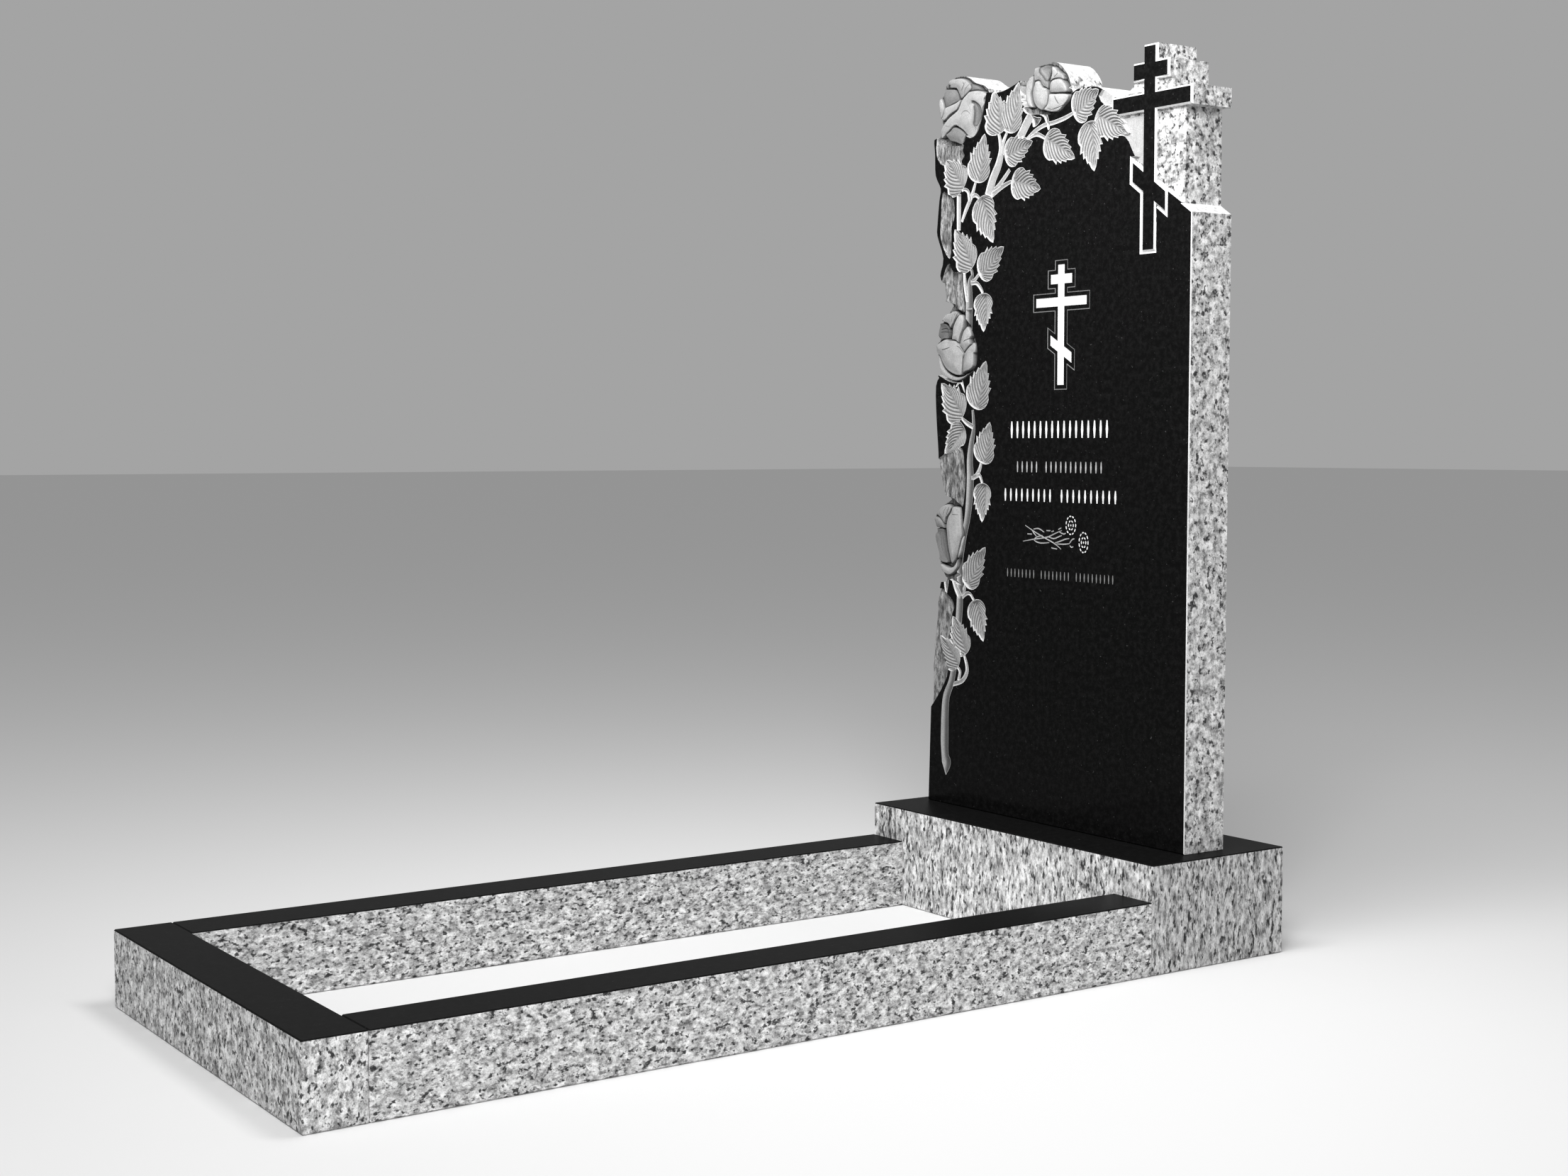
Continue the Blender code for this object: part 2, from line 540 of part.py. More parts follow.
def grid_inside(outline, spacing):
    """Points of a triangular grid that lie well inside an outline."""
    low = outline.min(0)
    high = outline.max(0)
    rows = []
    row_step = spacing * math.sqrt(3) / 2
    for i, z in enumerate(np.arange(low[1], high[1], row_step)):
        x = np.arange(low[0] + (i % 2) * spacing / 2, high[0], spacing)
        rows.append(np.stack([x, np.full(len(x), z)], 1))
    grid = np.concatenate(rows)
    return grid[depth_inside(grid, outline) > spacing * GRID_MARGIN]


class Net:
    """Points and fixed edges of the relief's triangulation."""

    def __init__(self):
        self.points = []
        self.edges = []
        self.loose = []

    def add_line(self, line, shown, closed):
        """Adds a run of points with the edges between those that show."""
        first = len(self.points)
        self.points.extend(line)
        count = len(line)
        for i in range(count if closed else count - 1):
            j = (i + 1) % count
            if shown[i] or shown[j]:
                self.edges.append((first + i, first + j))

    def triangles(self):
        """Points and triangles of the constrained Delaunay triangulation."""
        used = sorted({i for edge in self.edges for i in edge} | set(self.loose))
        place = {old: new for new, old in enumerate(used)}
        points = [Vector(self.points[i]) for i in used]
        edges = [(place[a], place[b]) for a, b in self.edges]
        points, _, faces, *_ = delaunay_2d_cdt(points, edges, [], 0, MERGE)
        return np.array([tuple(p) for p in points]), np.array(faces)

    def add_points(self, points):
        """Adds points without edges."""
        first = len(self.points)
        self.points.extend(points)
        self.loose.extend(range(first, len(self.points)))


def shows(points, layers_above):
    """True for each point that no later layer covers."""
    free = np.ones(len(points), bool)
    for layer in layers_above:
        if not layer.cuts:
            free &= depth_inside(points, layer.outline) < COVERED_SHARE * layer.wall
    return free


def relief_triangles():
    """Front of the stele: points on the sheet, their heights below the face, and triangles."""
    layers = carved_layers()
    silhouettes = [slab_outline()] + [np.array(rose["outline"], float) for rose in ROSES]
    net = Net()
    for outline in silhouettes:
        net.add_line(outline, np.ones(len(outline), bool), True)
    for i, layer in enumerate(layers):
        above = layers[i + 1:]
        inner = moved_in(layer.outline, layer.wall)
        for loop in (layer.outline, inner):
            net.add_line(loop, shows(loop, above), True)
        for line in layer.lines:
            net.add_line(line, shows(line, above), False)
        if layer.spacing:
            grid = grid_inside(layer.outline, layer.spacing)
            net.add_points(grid[shows(grid, above)])
    points, faces = net.triangles()
    middles = points[faces].mean(1)
    kept = np.zeros(len(faces), bool)
    for outline in silhouettes:
        kept |= depth_inside(middles, outline) > 0
    heights = np.zeros(len(points))
    for layer in layers:
        heights = layer.laid_over(points, heights)
    return points, heights, faces[kept]


def on_stele(point, depth):
    """Place in the set of a point on the sheet, at a depth behind the polished face."""
    x = STELE_SHIFT + STELE_WIDTH * ((point[0] - SHEET_LEFT) / SHEET_WIDTH - 0.5)
    z = PLINTH_HEIGHT + JOINT_GAP + STELE_HEIGHT * (point[1] - SHEET_FOOT) / SHEET_HEIGHT
    face = plinth_front() + (PLINTH_DEPTH - STELE_THICKNESS) / 2
    return Vector((x, face + depth, z))


def plinth_front():
    """Where the plinth's front face and the back ends of the side bars meet."""
    return (BED_LENGTH - PLINTH_DEPTH) / 2


def stone(name, colour, roughness):
    """A plain stone material."""
    material = bpy.data.materials.new(name)
    material.use_nodes = True
    shader = material.node_tree.nodes["Principled BSDF"]
    shader.inputs["Base Color"].default_value = (*colour, 1.0)
    shader.inputs["Roughness"].default_value = roughness
    shader.inputs["Metallic"].default_value = 0.0
    return material


def add_object(name, mesh, material, collection):
    """A named object with its own material in the set's collection."""
    item = bpy.data.objects.new(name, mesh)
    item.data.materials.append(material)
    collection.objects.link(item)
    return item


def stele(collection):
    """The upright slab: relief in front, flat behind, straight sides."""
    points, heights, faces = relief_triangles()
    work = bmesh.new()
    front = {}
    for i in sorted(set(faces.ravel())):
        front[i] = work.verts.new(on_stele(points[i], -heights[i]))
    for face in faces:
        work.faces.new([front[i] for i in face])
    rim = [edge for edge in work.edges if edge.is_boundary]
    back_y = on_stele((0, 0), STELE_THICKNESS).y
    result = bmesh.ops.extrude_edge_only(work, edges=rim)
    moved = [item for item in result["geom"] if isinstance(item, bmesh.types.BMVert)]
    for vertex in moved:
        vertex.co.y = back_y
    rear = [item for item in result["geom"] if isinstance(item, bmesh.types.BMEdge) and item.is_boundary]
    bmesh.ops.edgeloop_fill(work, edges=rear)
    bmesh.ops.triangulate(work, faces=work.faces[:], quad_method="BEAUTY", ngon_method="BEAUTY")
    bmesh.ops.recalc_face_normals(work, faces=work.faces[:])
    mesh = bpy.data.meshes.new("stele")
    work.to_mesh(mesh)
    work.free()
    material = stone("black granite, carved", BLACK_GRANITE, POLISHED_ROUGHNESS)
    return add_object("stele", mesh, material, collection)


def block(name, low, high, collection):
    """A sawn block between two corners, with its arrises slightly bevelled."""
    low = Vector(low)
    high = Vector(high)
    size = high - low
    work = bmesh.new()
    bmesh.ops.create_cube(work, size=1.0)
    for vertex in work.verts:
        vertex.co = Vector(a * b for a, b in zip(vertex.co, size))
    mesh = bpy.data.meshes.new(name)
    work.to_mesh(mesh)
    work.free()
    item = add_object(name, mesh, stone(name + " granite", LIGHT_GRANITE, SAWN_ROUGHNESS), collection)
    item.location = (low + high) / 2
    bevel = item.modifiers.new("arrises", "BEVEL")
    bevel.width = ARRIS_BEVEL
    bevel.segments = 1
    return item


def plinth(collection):
    """The block under the stele."""
    half = PLINTH_LENGTH / 2
    front = plinth_front()
    return block("plinth", (-half, front, 0), (half, front + PLINTH_DEPTH, PLINTH_HEIGHT), collection)


def flower_bed(collection):
    """Three bars around the ground in front of the plinth: the front one runs across the whole width."""
    half = PLINTH_LENGTH / 2
    back = plinth_front() - JOINT_GAP
    front = plinth_front() - BED_LENGTH
    block("bed_bar_front", (-half, front, 0), (half, front + BAR_WIDTH, BAR_HEIGHT), collection)
    side_front = front + BAR_WIDTH + JOINT_GAP
    block("bed_bar_left", (-half, side_front, 0), (BAR_WIDTH - half, back, BAR_HEIGHT), collection)
    block("bed_bar_right", (half - BAR_WIDTH, side_front, 0), (half, back, BAR_HEIGHT), collection)


def main():
    for item in list(bpy.data.objects):
        bpy.data.objects.remove(item, do_unlink=True)
    collection = bpy.data.collections.new("headstone with flower bed")
    bpy.context.scene.collection.children.link(collection)
    plinth(collection)
    flower_bed(collection)
    stele(collection)


main()
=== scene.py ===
"""Looks of the headstone with a flower bed: the stele's fine relief, its engraving, and the stones' finishes."""
import math

import bmesh
import bpy
import numpy as np
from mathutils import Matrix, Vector, noise
from mathutils.geometry import delaunay_2d_cdt


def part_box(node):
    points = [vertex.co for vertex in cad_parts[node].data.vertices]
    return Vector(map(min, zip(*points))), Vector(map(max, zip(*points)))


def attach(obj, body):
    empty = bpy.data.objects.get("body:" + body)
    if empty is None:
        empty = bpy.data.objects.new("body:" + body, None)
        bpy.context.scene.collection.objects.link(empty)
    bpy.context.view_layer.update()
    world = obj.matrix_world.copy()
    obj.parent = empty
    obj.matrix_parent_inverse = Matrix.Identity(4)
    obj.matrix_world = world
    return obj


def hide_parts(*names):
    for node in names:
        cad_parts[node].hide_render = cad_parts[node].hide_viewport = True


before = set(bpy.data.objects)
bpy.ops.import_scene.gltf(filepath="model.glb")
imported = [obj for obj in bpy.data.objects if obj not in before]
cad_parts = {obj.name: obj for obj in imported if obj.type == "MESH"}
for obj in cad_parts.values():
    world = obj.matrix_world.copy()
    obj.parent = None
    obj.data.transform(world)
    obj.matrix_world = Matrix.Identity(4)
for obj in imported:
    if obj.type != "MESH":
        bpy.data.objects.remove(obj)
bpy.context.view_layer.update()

# The stele's place comes from its solid
STELE_LOW, STELE_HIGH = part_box("stele")

# Depths of the carving below the polished face, in metres
RECESS_DEPTH = 0.006
LEDGE_DEPTH = 0.003
LEAF_DEPTH = 0.0046
LEAF_RIM = 0.0009
VEIN_DEPTH = 0.0013
STEM_DEPTH = 0.0028
BARK_DEPTH = 0.0036
BARK_ROUGHNESS = 0.0016
ROSE_DEPTH = 0.010
ROSE_FALL = 0.004
CREVICE_DEPTH = 0.0010
CREASE_DEPTH = 0.0009
CROSS_BEVEL = 0.0022
PAINT_DEPTH = 0.0004
EDGE_CHAMFER = 0.0010
TOOL_MARKS = 0.0004
PETAL_LEAST = 0.0004

# Below these depths a surface counts as carved, for creases, for crevices, and beyond the cross's bevel
CREASE_GROUND = 0.0003
CREVICE_GROUND = 0.0008
BEVEL_SLACK = 0.0003

# How much painted shade darkens a crevice, how dark the painted shadow around it is, and that shadow's reach in
# millimetres
CREVICE_SHADE = 0.72
SHADOW_DARK = 0.42
SHADOW_REACH = 4.0

# Edges that turn by more than this are shaded as edges
SHARP_ANGLE = math.radians(24)

# The sheet that the carving is drawn on, in millimetres; zero is on the ground below the plinth's middle
SHEET_LEFT = -230.0
SHEET_WIDTH = 455.0
SHEET_FOOT = 120.0
SHEET_HEIGHT = 901.0

# Drawing values in millimetres: widths of walls and bands, and spacing of points. A grid keeps a share of its
# spacing free along the outline, and a shape hides what lies below it from a share of its wall inwards
WALL = 0.9
LIP = 0.45
RIM = 1.15
CREVICE = 1.3
GROOVE_HALF = 2.2
FINE = 1.5
BARK_SPACING = 1.9
PETAL_SPACING = 1.5
GROUND_SPACING = 3.0
GRID_FREE = 0.45
WALL_HIDES = 0.6
CROSS_WALL = 0.3
PAINT_WALL = 0.2
CURVE_STEPS = 3
STEM_STEPS = 5
TAPER = 0.4
MERGE = 0.02

# Seen from the camera, a floor this many millimetres deep seems to lie this many times as far to the right
SIGHT_SHIFT = 1.4
ROSE_SET_LEFT = 3.0
CREASE_SET_LEFT = 3.3
SEPAL_SET_LEFT = 2.0
ROSE_TURN = 26.0

# Petals and bracts: reach of the bulge as a share of their half width, height of the lip, its middle and half width
# in millimetres, and tones: flat, how much painted shade darkens the edge and over what width, how much a painted
# highlight brightens the lip
PETAL_REACH = 0.8
PETAL_LIP = 0.05
PETAL_LIP_AT = 1.6
PETAL_LIP_HALF = 1.2
PETAL_TONE = 1.12
PETAL_EDGE_SHADE = 0.50
PETAL_EDGE_WIDTH = 2.2
PETAL_LIP_HIGHLIGHT = 0.30
PETAL_HIGHLIGHT_AT = 2.0
BRACT_EDGE = 0.6
BRACT_MIDDLE = 0.85
BRACT_HIGH = 30.0
# Tone of a rose's deep ground and of a crease, both painted shade, and a crease's wall as a share of its width
GROUND_SHADE = 0.6
CREASE_SHADE = 0.22
CREASE_WALL = 0.45

# Stems: tone, the width from which a flank gets painted shade, the greatest height of such a stem, how far it is
# upright, and the flank's tone, the strength of its painted shade, start and width; a stem narrower than the full
# width is carved less deep
STEM_TONE = 0.9
FLANK_STEM = 10.0
FLANK_TOP = 800.0
FLANK_UPRIGHT = 3.0
FLANK_TONE = 0.86
FLANK_SHADE = 0.60
FLANK_START = 4.5
FLANK_WIDTH = 3.0
STEM_FULL = 9.0

# Noise of the carving: grain in millimetres, stretch along z, and seed; then how much each tells
BARK_BROAD = (11.0, 2.2, 0.5)
BARK_MARKS = (3.6, 4.0, 7.5)
BARK_GRIT = (2.0, 1.0, 3.5)
BARK_PATCHES = (9.0, 1.6, 4.5)
TOOL_GRAIN = (1.6, 14.0, 2.5)
BARK_WEIGHTS = (1.7, 0.9, 0.25)
BARK_TONE = 0.66
MARKS_TONE = 0.45
PATCHES_TONE = 0.35

# Leaf form: shares of its length and half width, runs of points as start, end and number, and then its tones,
# with painted shade in its veins and along its midrib
LEAF_RISE = 0.5
LEAF_FALL = 1.15
STRIPS = 7
FIRST_STRIP = 0.05
LAST_STRIP = 0.91
SMOOTH_BASE = 0.30
SWEEP = 0.50
ROOT_SHARE = 0.95
STRIP_BEND = 1.15
RIDGE = 0.62
TOOTH_CUT = 0.12
TOOTH_REACH = 0.17
TOOTH_LEAN = 1.15
TIP_STRIPS = 4
FOLD_POWER = 1.9
BASE_PROFILE = (0.01, 0.03, 0.07, 0.12, 0.18, 0.25, 0.32)
MIDRIB = (0.03, 0.97, 12)
VEIN = (0.06, 0.86, 7)
VEIN_ENDS = (0.02, 0.97)
LEAST_HALF_WIDTH = 0.05
VEIN_POWER = 1.6
VEIN_END = 0.98
VEIN_FADE = 0.15
MIDRIB_FADE = 0.12
LEAF_TONE = 1.06
VEIN_SHADE = 0.84
MIDRIB_SHADE = 0.40
MIDRIB_SHADE_HALF = 0.09

# Gap between two groups of the inscription's strokes, in steps between strokes
GROUP_GAP = 1.0

LEFT_EDGE = (
    (-230, 120), (-226, 230), (-223, 290), (-217, 350), (-212, 380), (-205, 403), (-196, 440), (-193, 490),
    (-204, 512), (-212, 535), (-213, 560), (-217, 600), (-218.5, 643), (-208, 660), (-200, 700), (-194, 738),
    (-203, 748), (-203, 764), (-211, 779), (-205, 800), (-217, 828), (-217, 843), (-213.5, 872), (-211, 886),
    (-221, 903), (-222.5, 928), (-224, 950), (-214, 972), (-200, 990), (-180, 1000), (-150, 998), (-126, 993.5),
    (-110, 991), (-98, 990), (-84, 992), (-70, 995.5), (-58, 998), (-45, 985), (-10, 980), (26, 972),
    (40, 975.5), (68, 974.5), (84, 968), (97.8, 959),
)
CROSS_SLOPE = 0.70
SHOULDER_SLOPE = 0.665
CROSS = {
    "stem": (149.5, 166.8),
    "top": 1006.5,
    "foot": 784.5,
    "short bar": (133.0, 185.5, 971.5, 988.0),
    "long bar": (100.0, 221.0, 938.0, 955.0),
    "foot bar": (132.5, 184.0, 861.0, 882.0),
}
SMALL_CROSS = {
    "stem": (10.0, 21.0),
    "top": 778.0,
    "foot": 639.0,
    "short bar": (-2.5, 34.0, 756.0, 767.0),
    "long bar": (-28.0, 59.0, 730.0, 740.5),
    "foot bar": (-2.5, 34.0, 685.0, 697.0),
}
SMALL_CROSS_SLOPE = 0.57
SMALL_CROSS_LINE = (4.5, 5.5)
BLOCK_RIGHT = 209.0
BLOCK_TOP = 957.3
BLOCK_TOP_LEFT = 123.0
# To the right of this, what lies deeper than the cross's bevel is sawn granite
CROSS_SIDE = 120.0
SHOULDER = (225.0, 820.5)

RECESSES = (
    ((166.5, 945), (216, 945), (216, 827.5), (166.5, 859.6)),
    ((119, 950), (131, 971), (190, 971), (190, 950)),
)
CORNER_GROUND = (
    (92, 945), (151, 945), (151, 868), (132, 882), (130, 889), (136, 889), (130.5, 898), (126, 906), (120, 912),
    (110, 916), (95, 918),
)
LEDGE = ((76, 963), (84, 971), (101, 962), (101, 948), (88, 950), (80, 956))

# Leaves: base, tip and width
LEAVES = (
    ((-141, 887), (-125, 944), 44), ((-167, 881), (-203, 921), 46), ((-135, 868), (-108, 812), 44),
    ((-99, 940), (-109, 993), 47), ((-83, 940), (-62, 997), 42), ((-88, 913), (-37, 925), 36),
    ((-75, 882), (-22, 868), 38), ((-16, 925), (37, 897), 38), ((58, 936), (70, 879), 40),
    ((33, 948), (76, 970), 40), ((71, 941), (123, 915), 38), ((-150, 783), (-182, 834), 44),
    ((-135, 776), (-88, 806), 38), ((-127, 753), (-125, 706), 36), ((-143, 614), (-120, 671), 45),
    ((-166, 602), (-207, 646), 46), ((-163, 593), (-200, 558), 36), ((-128, 547), (-112, 597), 40),
    ((-126, 523), (-126, 475), 34), ((-158, 396), (-119, 445), 38), ((-141, 379), (-122, 329), 36),
    ((-159, 309), (-182, 357), 40), ((-172, 293), (-210, 331), 34),
)

# Stems as centre lines: x, z and width
STEMS = (
    ((-194, 156, 1), (-193, 171, 17), (-196, 182, 14), (-197, 205, 15), (-195, 250, 13), (-185, 272, 11),
     (-180, 288, 10), (-173, 315, 10), (-170, 352, 12), (-168, 380, 12), (-168, 420, 10), (-161, 455, 10),
     (-154, 480, 11), (-150, 508, 13), (-149, 530, 13), (-150, 552, 11), (-147, 572, 9), (-143, 590, 6),
     (-145, 612, 4)),
    ((-168, 381, 8), (-176, 392, 7), (-181, 402, 6)),
    ((-166, 381, 7), (-160, 390, 6), (-158, 397, 4)),
    ((-166, 380, 6), (-156, 386, 5), (-148, 386, 4), (-141, 379, 4)),
    ((-150, 528, 7), (-139, 531, 6), (-132, 538, 6), (-128, 548, 4)),
    ((-139, 531, 6), (-131, 532, 5), (-126, 523, 4)),
    ((-144, 591, 6), (-156, 596, 6), (-166, 602, 4)),
    ((-153, 735, 13), (-153, 752, 12), (-152, 768, 8), (-147, 776, 5), (-150, 784, 4)),
    ((-153, 735, 13), (-153, 710, 12), (-152, 700, 10)),
    ((-153, 768, 6), (-144, 769, 5), (-135, 776, 4)),
    ((-153, 766, 6), (-140, 766, 5), (-132, 760, 5), (-127, 753, 4)),
    ((-163, 782, 4), (-161, 765, 6), (-158, 744, 3)),
    ((-174, 876, 8), (-174, 853, 8), (-174, 832, 7)),
    ((-168, 842, 4), (-160, 856, 6), (-149, 872, 6), (-142, 887, 4)),
    ((-153, 866, 6), (-156, 877, 5), (-163, 881, 4), (-168, 880, 4)),
    ((-150, 871, 5), (-142, 872, 5), (-135, 868, 4)),
    ((-117, 869, 15), (-110, 887, 13), (-99, 904, 12), (-94, 920, 9), (-96, 932, 6), (-99, 941, 4)),
    ((-93, 915, 8), (-91, 928, 6), (-84, 940, 4)),
    ((-113, 871, 6), (-97, 880, 6), (-78, 896, 5)),
    ((-113, 869, 8), (-93, 877, 6), (-75, 882, 4)),
    ((-72, 920, 13), (-60, 932, 13), (-46, 949, 13), (-38, 956, 13)),
    ((-48, 928, 4), (-33, 936, 5), (-16, 941, 5), (0, 942, 5), (20, 945, 5), (34, 949, 4)),
    ((-46, 929, 4), (-30, 932, 5), (-15, 926, 4)),
    ((-182, 271, 5), (-162, 278, 6), (-153, 292, 6), (-159, 310, 4)),
    ((-170, 277, 5), (-167, 288, 5), (-172, 294, 4)),
)

BARK = (
    ((-235, 232), (-224, 240), (-205, 262), (-192, 282), (-190, 300), (-188, 330), (-183, 358), (-179, 368),
     (-183, 377), (-194, 384), (-206, 390), (-235, 375)),
    ((-200, 499), (-220, 520), (-220, 546), (-204, 556), (-190, 562), (-165, 565), (-161, 548), (-158, 530),
     (-160, 508), (-165, 492), (-188, 488)),
    ((-202, 732), (-210, 760), (-205, 775), (-197, 790), (-190, 792), (-184, 782), (-166, 780), (-165, 762),
     (-162, 745), (-163, 730), (-180, 728)),
    ((-206, 880), (-209, 850), (-210, 830), (-205, 815), (-197, 803), (-190, 800), (-188, 822), (-188, 838),
     (-182, 850), (-184, 870), (-195, 878)),
)

# Roses. Each row of numbers ends with x and z of its points in turn. A petal's row starts with the height of its
# edge and of its middle, as shares of the carving's depth, and its tone, which is lower on petals in hollows and
# folds as painted shade. A crease's row starts with its width.
ROSE_OUTLINES = (
    (-213, 966, -216, 973, -220, 984, -221, 993, -216, 1000, -211, 1002, -209, 1013, -200, 1016, -190, 1021,
     -175, 1020.5, -164, 1017, -151, 1009, -136, 1004, -127, 995, -140, 975, -180, 960),
    (-58, 985, -57, 998, -50, 1001, -43, 1005, -38, 1008, -36, 1012, -28, 1013, -19, 1013, -10, 1014, 0, 1011,
     10, 1003, 18, 992, 21, 980, 26, 971, 0, 958, -40, 962),
    (-208, 652, -214, 661, -219, 676, -222, 684, -226, 695, -214, 700, -222, 706, -217, 718, -209, 725, -200, 733,
     -190, 741, -180, 720, -180, 680, -190, 650),
    (-201, 403, -210, 411, -212, 420, -216, 432, -221, 440, -225, 449, -225, 457, -220, 462, -221, 471, -226, 476,
     -226, 480, -220, 487, -209, 494, -200, 498, -190, 500, -185, 470, -188, 420),
)
ROSE_GROUNDS = (
    (-232, 952, -216, 949, -200, 938, -168, 936, -160, 946, -152, 942, -140, 946, -131, 962, -126, 978, -122, 995,
     -120, 1030, -235, 1030),
    (-57, 1030, -57, 985, -52, 967, -42, 957, -22, 954, -6, 952, 8, 953, 20, 959, 31, 971, 34, 1030),
    (-235, 655, -212, 656, -198, 650, -183, 646, -168, 647, -155, 654, -143, 660, -137, 672, -138, 692, -147, 709,
     -157, 720, -164, 731, -180, 738, -190, 744, -235, 744),
    (-205, 398, -188, 402, -174, 412, -166, 430, -161, 455, -163, 478, -166, 492, -178, 499, -190, 504, -240, 504,
     -240, 398),
)
